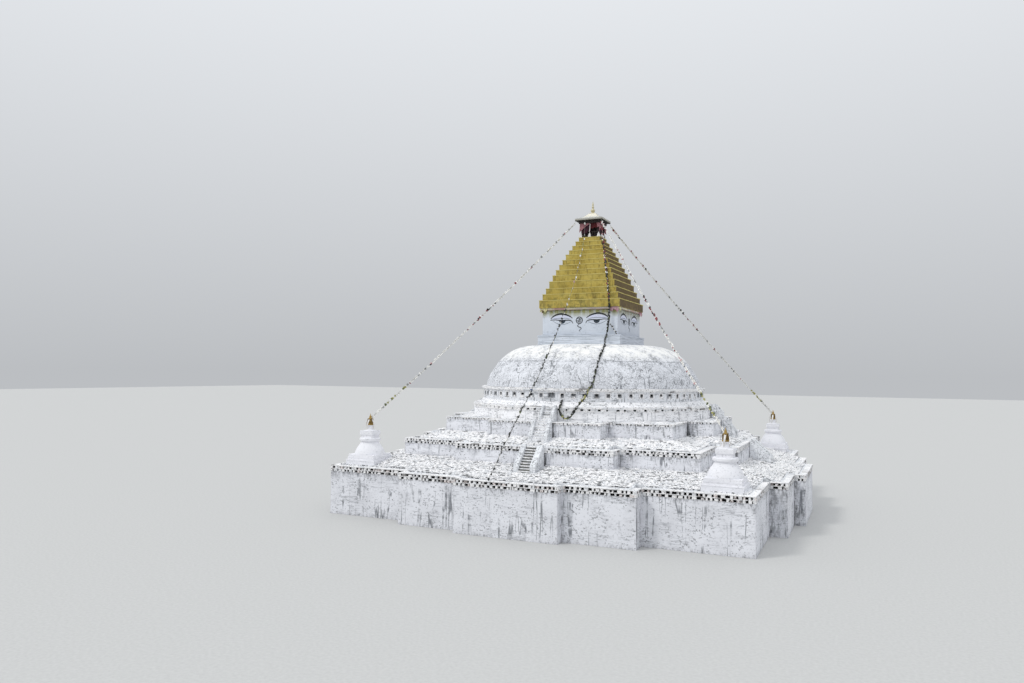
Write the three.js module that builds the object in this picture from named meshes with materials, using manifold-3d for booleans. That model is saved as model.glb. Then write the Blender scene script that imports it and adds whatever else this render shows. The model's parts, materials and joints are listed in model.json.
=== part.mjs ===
// A whitewashed stupa of the Himalaya: three stepped terraces, a round drum with a row of niches, a low
// dome, a square tower with painted eyes, a spire of thirteen steps and a small canopy on top.
// Millimetres, +Z up, origin on the ground below the spire, the front towards -Y.
import * as THREE from 'three';
import { mergeVertices } from 'three/addons/utils/BufferGeometryUtils.js';
import Module from 'manifold-3d';

const wasm = await Module();
wasm.setup();

// Driving dimensions of the terraces. Every side has one or two bays standing out from its corner parts:
// [half the bay's length, distance of its face from the axis], the widest bay first.
const LOWER = { corner: 17000, bays: [[9450, 18300], [4100, 19150]], foot: 0, coping: 3500, top: 4000 };
const MIDDLE = { corner: 12600, bays: [[6600, 14400]], foot: 4710, coping: 5720, top: 6140 };
const UPPER = { corner: 10000, bays: [[4830, 12100]], foot: 6680, coping: 7750, top: 7950 };
const PAVING_RUN = { lower: 3400, middle: 1900 };
const COPING_WIDTH = 420;
const COPING_OVERHANG = 60;

// Driving dimensions of the round parts, of the tower and of the spire.
const RING = { radius: 11100, top: 9050, shoulder: 9500, moulding: 110, overhang: 90, fall: 60 };
const DRUM = { radius: 10200, foot: 9500, top: 10300 };
const CORNICE = { radius: 10410, top: 10600, lowerStep: 70 };
const DOME = [[9960, 10600], [9900, 11050], [9700, 11550], [9330, 12150], [8920, 12740], [8400, 13300],
  [7620, 13860], [6680, 14250], [5600, 14400], [4600, 14440]];
const DOME_TOP = 14440;
const TOWER_BASE = { half: 3940, top: 15280 };
const TOWER = { half: 3600, top: 17810 };
const TOWER_CLOTH = { outer: 3840, thickness: 40, drop: 380 };
const SPIRE = { bottomHalf: 3860, topHalf: 1030 };
const SPIRE_RISES = [720, 590, 550, 670, 590, 520, 510, 480, 520, 440, 440, 440, 410];

// Driving dimensions of the pavilion, the canopy and the pinnacle. The canopy's tent and the pinnacle are
// given as [half width or radius, height].
const PAVILION = { half: 860, top: 26260, floor: 140, core: 460, postAt: 740, postHalf: 75 };
const VALANCE = { outer: 960, thickness: 40, drop: 960 };
const CANOPY = { half: 1370, rim: 26460, tent: [[900, 26620], [560, 26830], [360, 27060]] };
const PINNACLE = [[330, 27060], [330, 27160], [150, 27240], [250, 27400], [250, 27500], [90, 27640],
  [130, 27760], [70, 27880], [90, 27980], [30, 28280]];

// Niches of the drum: an odd number in each quarter, the middle one larger.
const NICHES_PER_QUARTER = 17;
const NICHE = { width: 340, height: 360, depth: 260, sill: 9800 };
const MIDDLE_NICHE = { width: 520, height: 420 };

// Stairs near the middle of each side: how far they stand out, width over the side walls, the left and
// right side walls' own widths, how far the flight lies to the right of the middle, and its treads.
const STAIRS = [
  { name: 'lower_stair', out: 1750, width: 1780, walls: [350, 450], shift: 270, treads: 10 },
  { name: 'middle_stair', out: 1100, width: 1600, walls: [260, 260], shift: 75, treads: 8 },
  { name: 'upper_stair', out: 900, width: 1200, walls: [190, 190], shift: 300, treads: 6 },
];
const STAIR_WALL = { above: 180, level: 220, frontEnd: 500 };
const STAIR_SINK = 100;          // how far a flight reaches down before the paving cuts it

// A small stupa stands near each corner of the lower terrace: its square steps as [half, foot, top], its
// bell as [radius, height], the squares above the bell, and the gilded finial's profile.
const SMALL_STUPA_AT = 14760;
const SMALL_STEPS = [[1400, 3950, 4420], [1300, 4420, 4620], [1200, 4620, 4840]];
const SMALL_BELL = [[1160, 4840], [1190, 5000], [1170, 5200], [1080, 5400], [950, 5570], [840, 5700],
  [760, 5800], [720, 5880], [800, 5900], [800, 5960], [880, 5980], [880, 6130], [820, 6190]];
const SMALL_BLOCK = { half: 540, foot: 6190, top: 6800 };
const SMALL_NECK = [[270, 6800], [240, 7260]];
const SMALL_FINIAL = [[220, 7260], [240, 7340], [150, 7420], [190, 7560], [110, 7660], [140, 7790],
  [80, 7870], [80, 7990], [50, 8060], [20, 8230]];

// Strings of flags. Each route is a list of points that the string follows from its upper end. The corner
// strings are given for one diagonal as [distance along x and y, height], the others as [x, y, z].
const STRING = { radius: 10, sides: 8 };
const CORNER_STRING = [[1300, 26259.6], [1300, 26150], [1420, 25900], [1970, 25120], [2910, 23770],
  [3980, 22240], [5050, 20730], [6120, 19240], [7200, 17760], [8270, 16300], [9340, 14860], [10410, 13440],
  [11480, 12035], [12560, 10650], [13360, 9620], [14030, 8770], [14500, 8140], [14650, 7945],
  [14680, 7930], [14705, 7930]];
const FRONT_STRING = [[-350, -1200, 26259.6], [-350, -1200, 26150], [-350, -1260, 25700],
  [-360, -1400, 24900], [-390, -1730, 23640], [-440, -2310, 22420], [-470, -2850, 21330],
  [-510, -3550, 20180], [-550, -4380, 19050], [-590, -5300, 17860], [-640, -6290, 16640],
  [-700, -7330, 15420], [-760, -8480, 14120], [-830, -9700, 12820], [-900, -10950, 11550],
  [-970, -12260, 10310], [-1060, -13600, 9080], [-1160, -15350, 7540], [-1250, -17000, 5920],
  [-1330, -18300, 4650], [-1365, -18800, 4180], [-1370, -18910, 4070], [-1370, -18910, 4000.4]];
const DOME_STRING = [[1250, -1250, 26259.6], [1250, -1250, 26150], [1330, -1390, 25600],
  [1530, -1720, 24750], [1830, -2200, 23400], [2150, -2700, 21980], [2460, -3190, 20600],
  [2740, -3660, 19260], [2900, -3905, 18600], [2930, -3910, 17750], [2860, -3950, 16440],
  [2680, -3985, 15360], [2740, -4300, 15120], [2960, -5150, 14700], [3200, -5900, 14310],
  [3332, -6885, 13905], [3373, -7735, 13340], [3376, -8300, 12775], [3376, -8745, 12180],
  [3352, -9150, 11570], [3297, -9385, 11060], [3265, -9480, 10800], [3230, -9700, 10665],
  [3200, -9935, 10650], [3180, -10120, 10490], [3010, -10520, 9900], [2700, -10900, 9430],
  [2450, -11270, 8880], [2120, -11450, 8390], [1740, -11480, 8240], [1420, -11450, 8450],
  [1220, -11380, 8840], [1130, -11250, 9070], [1080, -11060, 9130], [1010, -10740, 9170],
  [975, -10500, 9370], [955, -10310, 9580], [947.6, -10226.2, 9620], [941.2, -10156.8, 9620]];
const TAIL_STRING = [[2871, -3949, 16440], [2920, -3949, 16430], [3000, -3940, 16330], [3120, -3910, 16150],
  [3240, -3870, 15960], [3360, -3830, 15770], [3480, -3790, 15570], [3560, -3765, 15410],
  [3590, -3755, 15330], [3540, -3750, 15297], [3430, -3752, 15294], [3280, -3758, 15294],
  [3120, -3762, 15294], [2980, -3762, 15300], [2890, -3760, 15320], [2850, -3758, 15322],
  [2818, -3758, 15306], [2818, -3758, 15280.4]];
const SIDES = ['front', 'right', 'back', 'left'];
const CORNERS = ['front_left', 'front_right', 'back_right', 'back_left'];

const GAP = 0.3;                 // left between pieces that are cut to fit each other
const WELD = 0.01;               // points closer than this are one corner
const SMALL_SEGMENTS = { bell: 24, neck: 16, finial: 12, pinnacle: 16 };
const QUARTER = Math.PI / 2;

const material = (color, roughness, metalness = 0) =>
  new THREE.MeshStandardMaterial({ color, roughness, metalness });
const whitewash = material(0xe9ebee, 0.9);
const stoneCoping = material(0xdfe1e2, 0.95);
const towerPaint = material(0xe4e9ef, 0.8);
const yellowPaint = material(0xb7a23f, 0.75);
const gilding = material(0xcdb680, 0.45, 0.6);
const darkTimber = material(0x3b332f, 0.8);
const pinkCloth = material(0xc4707a, 0.95);
const creamCloth = material(0xe6dcae, 0.95);
const cordRope = material(0xd9d6c8, 0.95);

const stupa = new THREE.Group();
stupa.name = 'stupa';

function place(name, geometry, finish) {
  const mesh = new THREE.Mesh(geometry, finish);
  mesh.name = name;
  stupa.add(mesh);
}

// Outline of a terrace seen from above, counter-clockwise, grown outwards by a margin.
function terraceOutline(terrace, grow = 0) {
  const corner = terrace.corner + grow;
  const left = [];
  let face = corner;
  for (const [half, next] of terrace.bays) {
    left.push([-half - grow, -face], [-half - grow, -next - grow]);
    face = next + grow;
  }
  const right = left.map(([x, y]) => [-x, y]).reverse();
  const side = [[-corner, -corner], ...left, ...right];
  const outline = [];
  for (let turn = 0; turn < 4; turn += 1) {
    const cos = [1, 0, -1, 0][turn];
    const sin = [0, 1, 0, -1][turn];
    for (const [x, y] of side) outline.push(new THREE.Vector2(x * cos - y * sin, x * sin + y * cos));
  }
  return outline;
}

function prism(outline, low, high, hole = null) {
  const shape = new THREE.Shape(outline);
  if (hole) shape.holes.push(new THREE.Path(hole));
  const options = { depth: high - low, bevelEnabled: false, curveSegments: 1 };
  return new THREE.ExtrudeGeometry(shape, options).translate(0, 0, low);
}

// A solid between two outlines with the same number of corners, one above the other.
function loft(lower, low, upper, high) {
  const count = lower.length;
  const positions = [];
  for (const point of lower) positions.push(point.x, point.y, low);
  for (const point of upper) positions.push(point.x, point.y, high);
  const index = [];
  for (let i = 0; i < count; i += 1) {
    const next = (i + 1) % count;
    index.push(i, next, next + count, i, next + count, i + count);
  }
  for (const [a, b, c] of THREE.ShapeUtils.triangulateShape(lower, [])) index.push(c, b, a);
  for (const face of THREE.ShapeUtils.triangulateShape(upper, [])) index.push(...face.map((i) => i + count));
  const geometry = new THREE.BufferGeometry();
  geometry.setAttribute('position', new THREE.Float32BufferAttribute(positions, 3));
  geometry.setIndex(index);
  return geometry;
}

function box(width, depth, height, x, y, low) {
  return new THREE.BoxGeometry(width, depth, height).translate(x, y, low + height / 2);
}

// A round solid from its profile as [radius, height], closed to the axis at both ends.
function lathe(profile, segments) {
  const closed = [[0, profile[0][1]], ...profile, [0, profile[profile.length - 1][1]]];
  const points = closed.map(([radius, height]) => new THREE.Vector2(radius, height));
  return new THREE.LatheGeometry(points, segments).rotateX(QUARTER);
}

const square = (half, low, high) => box(half * 2, half * 2, high - low, 0, 0, low);
const squareOutline = (half) => [[-1, -1], [1, -1], [1, 1], [-1, 1]]
  .map(([x, y]) => new THREE.Vector2(x * half, y * half));

// Booleans work on merged meshes and give plain geometry back.
function toSolid(geometry) {
  const bare = geometry.clone();
  bare.deleteAttribute('normal');
  bare.deleteAttribute('uv');
  const merged = mergeVertices(bare, WELD);
  return new wasm.Manifold(new wasm.Mesh({
    numProp: 3,
    vertProperties: Float32Array.from(merged.attributes.position.array),
    triVerts: Uint32Array.from(merged.index.array),
  }));
}

function toGeometry(solid) {
  const mesh = solid.getMesh();
  const geometry = new THREE.BufferGeometry();
  geometry.setAttribute('position', new THREE.Float32BufferAttribute(mesh.vertProperties, 3));
  geometry.setIndex(Array.from(mesh.triVerts));
  geometry.computeVertexNormals();
  return geometry;
}

// A terrace: its wall, the raised bed inside its coping, and paving that rises to the next wall's foot.
function terraceBody(terrace, paving) {
  const inner = terraceOutline(terrace, -COPING_WIDTH);
  let solid = toSolid(prism(terraceOutline(terrace), terrace.foot, terrace.coping))
    .add(toSolid(prism(inner, terrace.coping, terrace.top)));
  if (paving) {
    const slope = toSolid(loft(terraceOutline(paving.next, paving.run), terrace.top,
      terraceOutline(paving.next), paving.next.foot));
    solid = solid.add(slope.intersect(toSolid(prism(inner, terrace.top, paving.next.foot))));
  }
  return solid;
}

function coping(terrace) {
  return prism(terraceOutline(terrace, COPING_OVERHANG), terrace.coping, terrace.top,
    terraceOutline(terrace, -COPING_WIDTH + GAP));
}

const lowerBody = terraceBody(LOWER, { next: MIDDLE, run: PAVING_RUN.lower });
const middleBody = terraceBody(MIDDLE, { next: UPPER, run: PAVING_RUN.middle });
const upperBody = terraceBody(UPPER, null);
place('lower_terrace', toGeometry(lowerBody), whitewash);
place('lower_coping', coping(LOWER), stoneCoping);
place('middle_terrace', toGeometry(middleBody), whitewash);
place('middle_coping', coping(MIDDLE), stoneCoping);
place('upper_terrace', toGeometry(upperBody), whitewash);
place('upper_coping', coping(UPPER), stoneCoping);

// The round ring between the upper terrace and the drum, with a moulding at its top edge.
const roundSegments = NICHES_PER_QUARTER * 4;
place('base_ring', lathe([
  [RING.radius, UPPER.top],
  [RING.radius, RING.top - RING.moulding],
  [RING.radius + RING.overhang, RING.top - RING.moulding],
  [RING.radius + RING.overhang, RING.top],
  [RING.radius - COPING_WIDTH, RING.top + RING.fall],
  [DRUM.radius + RING.fall, RING.shoulder],
], roundSegments), whitewash);

// The drum is four quarters of masonry, each with a row of niches in its flat facets.
function drumQuarter(turn) {
  const step = QUARTER / NICHES_PER_QUARTER;
  const cornerRadius = DRUM.radius / Math.cos(step / 2);
  const start = (turn - 1.5) * QUARTER;
  const outline = [new THREE.Vector2(0, 0)];
  for (let i = 0; i <= NICHES_PER_QUARTER; i += 1) {
    const angle = start + i * step;
    outline.push(new THREE.Vector2(cornerRadius * Math.cos(angle), cornerRadius * Math.sin(angle)));
  }
  let solid = toSolid(prism(outline, DRUM.foot, DRUM.top));
  const middle = (NICHES_PER_QUARTER - 1) / 2;
  for (let i = 0; i < NICHES_PER_QUARTER; i += 1) {
    const size = i === middle ? MIDDLE_NICHE : NICHE;
    const niche = box(NICHE.depth * 2, size.width, size.height, DRUM.radius, 0, NICHE.sill)
      .rotateZ(start + (i + 0.5) * step);
    solid = solid.subtract(toSolid(niche));
  }
  return toGeometry(solid);
}
SIDES.forEach((side, turn) => place(`drum_${side}`, drumQuarter(turn), whitewash));

const corniceStep = (CORNICE.top - DRUM.top) / 3;
place('drum_cornice', lathe([
  [DRUM.radius + CORNICE.lowerStep, DRUM.top],
  [DRUM.radius + CORNICE.lowerStep, DRUM.top + corniceStep],
  [CORNICE.radius, DRUM.top + corniceStep],
  [CORNICE.radius, CORNICE.top],
], roundSegments), whitewash);
place('dome', lathe(DOME, roundSegments), whitewash);

// The square tower that carries the eyes, on its base step.
place('tower_base', square(TOWER_BASE.half, DOME_TOP, TOWER_BASE.top), towerPaint);
place('tower', square(TOWER.half, TOWER_BASE.top, TOWER.top), towerPaint);

// The spire: thirteen square steps, each a little smaller than the one below it.
let stepFoot = TOWER.top;
SPIRE_RISES.forEach((rise, i) => {
  const share = i / (SPIRE_RISES.length - 1);
  const half = SPIRE.bottomHalf + (SPIRE.topHalf - SPIRE.bottomHalf) * share;
  const name = `spire_step_${String(i + 1).padStart(2, '0')}`;
  place(name, square(half, stepFoot, stepFoot + rise), yellowPaint);
  stepFoot += rise;
});

// The little pavilion: a square core with a post at each corner, a cloth valance, and the canopy.
const pillars = [[0, 0, PAVILION.core]];
for (const [x, y] of [[-1, -1], [1, -1], [1, 1], [-1, 1]]) {
  pillars.push([x * PAVILION.postAt, y * PAVILION.postAt, PAVILION.postHalf]);
}
let pavilion = toSolid(square(PAVILION.half, stepFoot, stepFoot + PAVILION.floor));
for (const [x, y, half] of pillars) {
  pavilion = pavilion.add(toSolid(box(half * 2, half * 2, PAVILION.top - stepFoot, x, y, stepFoot)));
}
place('pavilion', toGeometry(pavilion), darkTimber);

place('valance', prism(squareOutline(VALANCE.outer), PAVILION.top - VALANCE.drop, PAVILION.top - GAP,
  squareOutline(VALANCE.outer - VALANCE.thickness)), pinkCloth);

// The canopy: a thin square rim and a tent that sweeps up to the pinnacle.
let canopy = toSolid(prism(squareOutline(CANOPY.half), PAVILION.top, CANOPY.rim));
let tentEdge = [CANOPY.half, CANOPY.rim];
for (const [half, height] of CANOPY.tent) {
  canopy = canopy.add(toSolid(loft(squareOutline(tentEdge[0]), tentEdge[1], squareOutline(half), height)));
  tentEdge = [half, height];
}
place('canopy', toGeometry(canopy), gilding);
place('pinnacle', lathe(PINNACLE, SMALL_SEGMENTS.pinnacle), gilding);

// Cloth band that hangs below the first step of the spire, around the top of the tower.
place('tower_cloth', prism(squareOutline(TOWER_CLOTH.outer), TOWER.top - TOWER_CLOTH.drop, TOWER.top - GAP,
  squareOutline(TOWER_CLOTH.outer - TOWER_CLOTH.thickness)), creamCloth);

// Stairs: one flight to a side and a terrace, with low side walls, cut to the paving that they stand on.
const wallOf = (terrace) => terrace.bays[terrace.bays.length - 1][1];
function flight(stair, wallFace, foot, top) {
  const rise = (top - foot) / stair.treads;
  const run = stair.out / stair.treads;
  const profile = [new THREE.Vector2(0, foot), new THREE.Vector2(0, top)];
  for (let i = 1; i <= stair.treads; i += 1) {
    profile.push(new THREE.Vector2(i * run, top - (i - 1) * rise));
    profile.push(new THREE.Vector2(i * run, top - i * rise));
  }
  const wallProfile = [[0, foot], [0, top + STAIR_WALL.above], [STAIR_WALL.level, top + STAIR_WALL.above],
    [stair.out, foot + STAIR_SINK + STAIR_WALL.frontEnd], [stair.out, foot]]
    .map(([x, y]) => new THREE.Vector2(x, y));
  const upright = (points, width, right) => new THREE.ExtrudeGeometry(new THREE.Shape(points),
    { depth: width, bevelEnabled: false })
    .rotateX(QUARTER).rotateZ(-QUARTER).translate(right, -wallFace - GAP, 0);
  const right = stair.shift + stair.width / 2;
  return toSolid(upright(profile, stair.width, right))
    .add(toSolid(upright(wallProfile, stair.walls[1], right)))
    .add(toSolid(upright(wallProfile, stair.walls[0], right - stair.width + stair.walls[0])));
}

const pavingAt = (lowTop, highFoot, run, out) => highFoot - (highFoot - lowTop) * (out / run);
const flights = [
  flight(STAIRS[0], wallOf(MIDDLE) + COPING_OVERHANG,
    pavingAt(LOWER.top, MIDDLE.foot, PAVING_RUN.lower, STAIRS[0].out) - STAIR_SINK, MIDDLE.top)
    .subtract(lowerBody.translate([0, 0, GAP])),
  flight(STAIRS[1], wallOf(UPPER) + COPING_OVERHANG,
    pavingAt(MIDDLE.top, UPPER.foot, PAVING_RUN.middle, STAIRS[1].out) - STAIR_SINK, UPPER.top)
    .subtract(middleBody.translate([0, 0, GAP])),
  flight(STAIRS[2], RING.radius + RING.overhang, UPPER.top + GAP, RING.top),
];
SIDES.forEach((side, turn) => flights.forEach((solid, i) => {
  place(`${STAIRS[i].name}_${side}`, toGeometry(solid).rotateZ(turn * QUARTER), whitewash);
}));

// The small stupas: square steps, a bell-shaped dome with its cornice, a square block, a neck and a finial.
let smallStupa = toSolid(lathe(SMALL_BELL, SMALL_SEGMENTS.bell));
for (const [half, low, high] of SMALL_STEPS) smallStupa = smallStupa.add(toSolid(square(half, low, high)));
smallStupa = smallStupa
  .add(toSolid(square(SMALL_BLOCK.half, SMALL_BLOCK.foot, SMALL_BLOCK.top)))
  .add(toSolid(lathe(SMALL_NECK, SMALL_SEGMENTS.neck)));
CORNERS.forEach((corner, turn) => {
  const x = SMALL_STUPA_AT * [-1, 1, 1, -1][turn];
  const y = SMALL_STUPA_AT * [-1, -1, 1, 1][turn];
  const body = smallStupa.translate([x, y, 0]).subtract(lowerBody.translate([0, 0, GAP]));
  place(`corner_stupa_${corner}`, toGeometry(body), whitewash);
  const finial = lathe(SMALL_FINIAL, SMALL_SEGMENTS.finial).translate(x, y, 0);
  place(`corner_finial_${corner}`, finial, gilding);
});

// A smooth curve that is stepped from one point of its route to the next, so that the steps are close
// together where the points are.
class Route extends THREE.CatmullRomCurve3 {
  getPointAt(t, target) {
    return this.getPoint(t, target);
  }

  getTangentAt(t, target) {
    return this.getTangent(t, target);
  }
}

// Strings of flags: a thin tube with a step at each point of its route.
function flagString(name, route) {
  const path = new Route(route.map((point) => new THREE.Vector3(...point)));
  const section = [];
  for (let i = 0; i < STRING.sides; i += 1) {
    const angle = (i / STRING.sides) * 2 * Math.PI;
    section.push(new THREE.Vector2(STRING.radius * Math.cos(angle), STRING.radius * Math.sin(angle)));
  }
  const shape = new THREE.Shape(section);
  place(name, new THREE.ExtrudeGeometry(shape, { steps: route.length - 1, extrudePath: path }), cordRope);
}
CORNERS.forEach((corner, turn) => {
  const route = CORNER_STRING.map(([out, z]) => [out * [-1, 1, 1, -1][turn], out * [-1, -1, 1, 1][turn], z]);
  flagString(`garland_${corner}`, route);
});
flagString('garland_front', FRONT_STRING);
flagString('garland_dome', DOME_STRING);
flagString('garland_tail', TAIL_STRING);

export default stupa;
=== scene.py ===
import json
import math
import random
from collections import namedtuple
from itertools import product

import bpy
from mathutils import Matrix, Vector, noise


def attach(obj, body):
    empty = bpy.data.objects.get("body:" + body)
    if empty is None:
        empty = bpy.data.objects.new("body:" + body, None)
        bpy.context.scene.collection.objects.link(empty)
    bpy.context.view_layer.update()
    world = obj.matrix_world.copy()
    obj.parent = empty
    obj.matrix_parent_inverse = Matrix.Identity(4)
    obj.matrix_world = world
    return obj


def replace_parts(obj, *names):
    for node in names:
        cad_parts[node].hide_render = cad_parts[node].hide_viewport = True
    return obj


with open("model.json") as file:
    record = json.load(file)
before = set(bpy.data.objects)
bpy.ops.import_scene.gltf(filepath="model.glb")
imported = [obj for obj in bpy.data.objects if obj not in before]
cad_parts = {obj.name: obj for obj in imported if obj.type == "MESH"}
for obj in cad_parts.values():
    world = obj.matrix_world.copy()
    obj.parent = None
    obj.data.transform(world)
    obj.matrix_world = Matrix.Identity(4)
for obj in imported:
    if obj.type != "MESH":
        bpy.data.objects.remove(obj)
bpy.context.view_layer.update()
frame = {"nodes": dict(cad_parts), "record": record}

# The front of the stupa is towards -Y, and all sizes are in metres.
nodes = frame["nodes"]
random.seed(7)

UP = Vector((0, 0, 1))
SIDES = ["front", "right", "back", "left"]
TURNS = [(1, 0), (0, 1), (-1, 0), (0, -1)]
CORNER_SIGNS = {"front_left": (-1, -1), "front_right": (1, -1), "back_right": (1, 1), "back_left": (-1, 1)}

# driving sizes of the terraces, with bays as [half their length, distance of their face], the widest first
LOWER = {"corner": 17.0, "bays": [(9.45, 18.3), (4.1, 19.15)], "foot": 0.0, "coping": 3.5, "top": 4.0}
MIDDLE = {"corner": 12.6, "bays": [(6.6, 14.4)], "foot": 4.71, "coping": 5.72, "top": 6.14}
UPPER = {"corner": 10.0, "bays": [(4.83, 12.1)], "foot": 6.68, "coping": 7.75, "top": 7.95}
LOWER_RUN, MIDDLE_RUN = 3.4, 1.9
COPING_WIDTH, OVERHANG = 0.42, 0.06

# driving sizes of the round parts, as [radius, height] where they are profiles
RING_RADIUS, RING_TOP, RING_OVERHANG = 11.1, 9.05, 0.09
DRUM_RADIUS, DRUM_FOOT, DRUM_TOP = 10.2, 9.5, 10.3
CORNICE_RADIUS, CORNICE_TOP = 10.41, 10.6
RING = [(RING_RADIUS, UPPER["top"]), (RING_RADIUS, 8.2), (RING_RADIUS, 8.45), (11.09, 8.7),
        (11.08, 8.78), (11.0, 8.79), (11.0, 8.93), (10.95, 9.03), (10.6, 9.13), (10.4, 9.3),
        (10.27, 9.49), (10.15, DRUM_FOOT)]
DOME = [(9.96, 10.6), (9.9, 11.05), (9.7, 11.55), (9.33, 12.15), (8.92, 12.74), (8.4, 13.3),
        (7.62, 13.86), (6.68, 14.25), (5.6, 14.4), (4.6, 14.44)]
SEAM_HEIGHT = 12.87
NICHES_PER_QUARTER, OPEN_NICHES = 17, 1
NICHE = {"half": 0.17, "tall": 0.36, "sill": 9.8}
MIDDLE_NICHE = {"half": 0.26, "tall": 0.42, "sill": 9.8}

# driving sizes of the tower, the spire, the pavilion and the canopy
TOWER_BASE_HALF, TOWER_BASE_TOP = 3.94, 15.28
TOWER_HALF, TOWER_TOP = 3.6, 17.81
SPIRE_LOW_HALF, SPIRE_HIGH_HALF = 3.86, 1.03
SPIRE_RISES = [0.72, 0.59, 0.55, 0.67, 0.59, 0.52, 0.51, 0.48, 0.52, 0.44, 0.44, 0.44, 0.41]
PAVILION_FOOT = TOWER_TOP + sum(SPIRE_RISES)
PAVILION_TOP = 26.26
CANOPY_HALF, CANOPY_RIM_TOP = 1.37, 26.46
SMALL_AT = 14.76


def paving_height(low, high, run, out):
    """Height of a terrace's sloping paving at a distance out from the wall above it."""
    return high["foot"] - (high["foot"] - low["top"]) * out / run


# stairs in the middle of every side, from the lowest flight up
Flight = namedtuple("Flight", "out width left right shift treads face foot top")
STAIR_SINK = 0.1
FLIGHTS = [
    Flight(1.75, 1.78, 0.35, 0.45, 0.27, 10, MIDDLE["bays"][0][1] + OVERHANG,
           paving_height(LOWER, MIDDLE, LOWER_RUN, 1.75) - STAIR_SINK, MIDDLE["top"]),
    Flight(1.1, 1.6, 0.26, 0.26, 0.075, 8, UPPER["bays"][0][1] + OVERHANG,
           paving_height(MIDDLE, UPPER, MIDDLE_RUN, 1.1) - STAIR_SINK, UPPER["top"]),
    Flight(0.9, 1.2, 0.19, 0.19, 0.3, 6, RING_RADIUS + RING_OVERHANG, UPPER["top"], RING_TOP),
]

# somewhere to lay stones: a start, the directions along and out, and the length of a wall
Place = namedtuple("Place", "start along out length", defaults=[0.0])


def turned(point, turn):
    """A point of the front side, turned to another side."""
    c, s = TURNS[turn]
    return Vector((point.x * c - point.y * s, point.x * s + point.y * c, point.z))


def at_side(turn, reach=0.0):
    """The middle of a side, at a distance from the stupa's middle."""
    out = turned(Vector((0, -1, 0)), turn)
    return Place(out * reach, turned(Vector((1, 0, 0)), turn), out)


def at_angle(angle, radius):
    out = Vector((math.cos(angle), math.sin(angle), 0))
    return Place(out * radius, Vector((-out.y, out.x, 0)), out)


def add_object(name, data):
    made = bpy.data.objects.new(name, data)
    bpy.context.scene.collection.objects.link(made)
    return made


# camera at the photograph's viewing angle
EYE = Vector((23.50, -68.28, 11.851))
YAW, PITCH, ROLL = math.radians(25.05), math.radians(2.34), math.radians(0.58)
FOCAL_PIXELS, PHOTO_WIDTH = 756.13, 1024
SENSOR = 36


def add_camera():
    forward = Vector((-math.sin(YAW) * math.cos(PITCH), math.cos(YAW) * math.cos(PITCH), math.sin(PITCH)))
    level = Vector((math.cos(YAW), math.sin(YAW), 0))
    above = level.cross(forward)
    right = level * math.cos(ROLL) + above * math.sin(ROLL)
    up = above * math.cos(ROLL) - level * math.sin(ROLL)
    data = bpy.data.cameras.new("camera")
    data.sensor_fit = "HORIZONTAL"
    data.sensor_width = SENSOR
    data.lens = FOCAL_PIXELS * SENSOR / PHOTO_WIDTH
    data.clip_end = 2000
    camera = add_object("camera", data)
    rows = [(right[i], up[i], -forward[i], EYE[i]) for i in range(3)]
    camera.matrix_world = Matrix(rows + [(0, 0, 0, 1)])
    bpy.context.scene.camera = camera


add_camera()


# helpers for meshes
def add_mesh(name, vertices, faces, finishes, slot, smooth=None, kinds=None):
    """A piece that rides on the stupa. Kinds say which finish each face has."""
    mesh = bpy.data.meshes.new(name)
    mesh.from_pydata([tuple(v) for v in vertices], [], faces)
    for finish in finishes:
        mesh.materials.append(finish)
    if kinds:
        mesh.polygons.foreach_set("material_index", kinds)
    if smooth is not None:
        mesh.shade_smooth()
        mesh.set_sharp_from_angle(angle=math.radians(smooth))
    mesh.update()
    made = add_object(name, mesh)
    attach(made, "root")
    return made


def grid_faces(rows, columns, closed=False, flipped=False):
    """Faces between rows of points. Closed rows are rings, and flipped faces look the other way."""
    faces = []
    for k in range(rows - 1):
        for i in range(columns if closed else columns - 1):
            near, far, j = k * columns, (k + 1) * columns, (i + 1) % columns
            face = (near + i, near + j, far + j, far + i)
            faces.append((face[0], *face[:0:-1]) if flipped else face)
    return faces


def skin(name, rings, finish, slot, smooth, cap=False):
    """A surface through rings of points, with a lid on the last ring where it has a cap."""
    count = len(rings[0])
    faces = grid_faces(len(rings), count, closed=True)
    if cap:
        faces.append(tuple((len(rings) - 1) * count + i for i in range(count)))
    return add_mesh(name, [spot for ring in rings for spot in ring], faces, [finish], slot, smooth)


BRICK_FACES = [(0, 2, 3, 1), (4, 5, 7, 6), (0, 1, 5, 4), (1, 3, 7, 5), (3, 2, 6, 7), (2, 0, 4, 6)]


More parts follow.
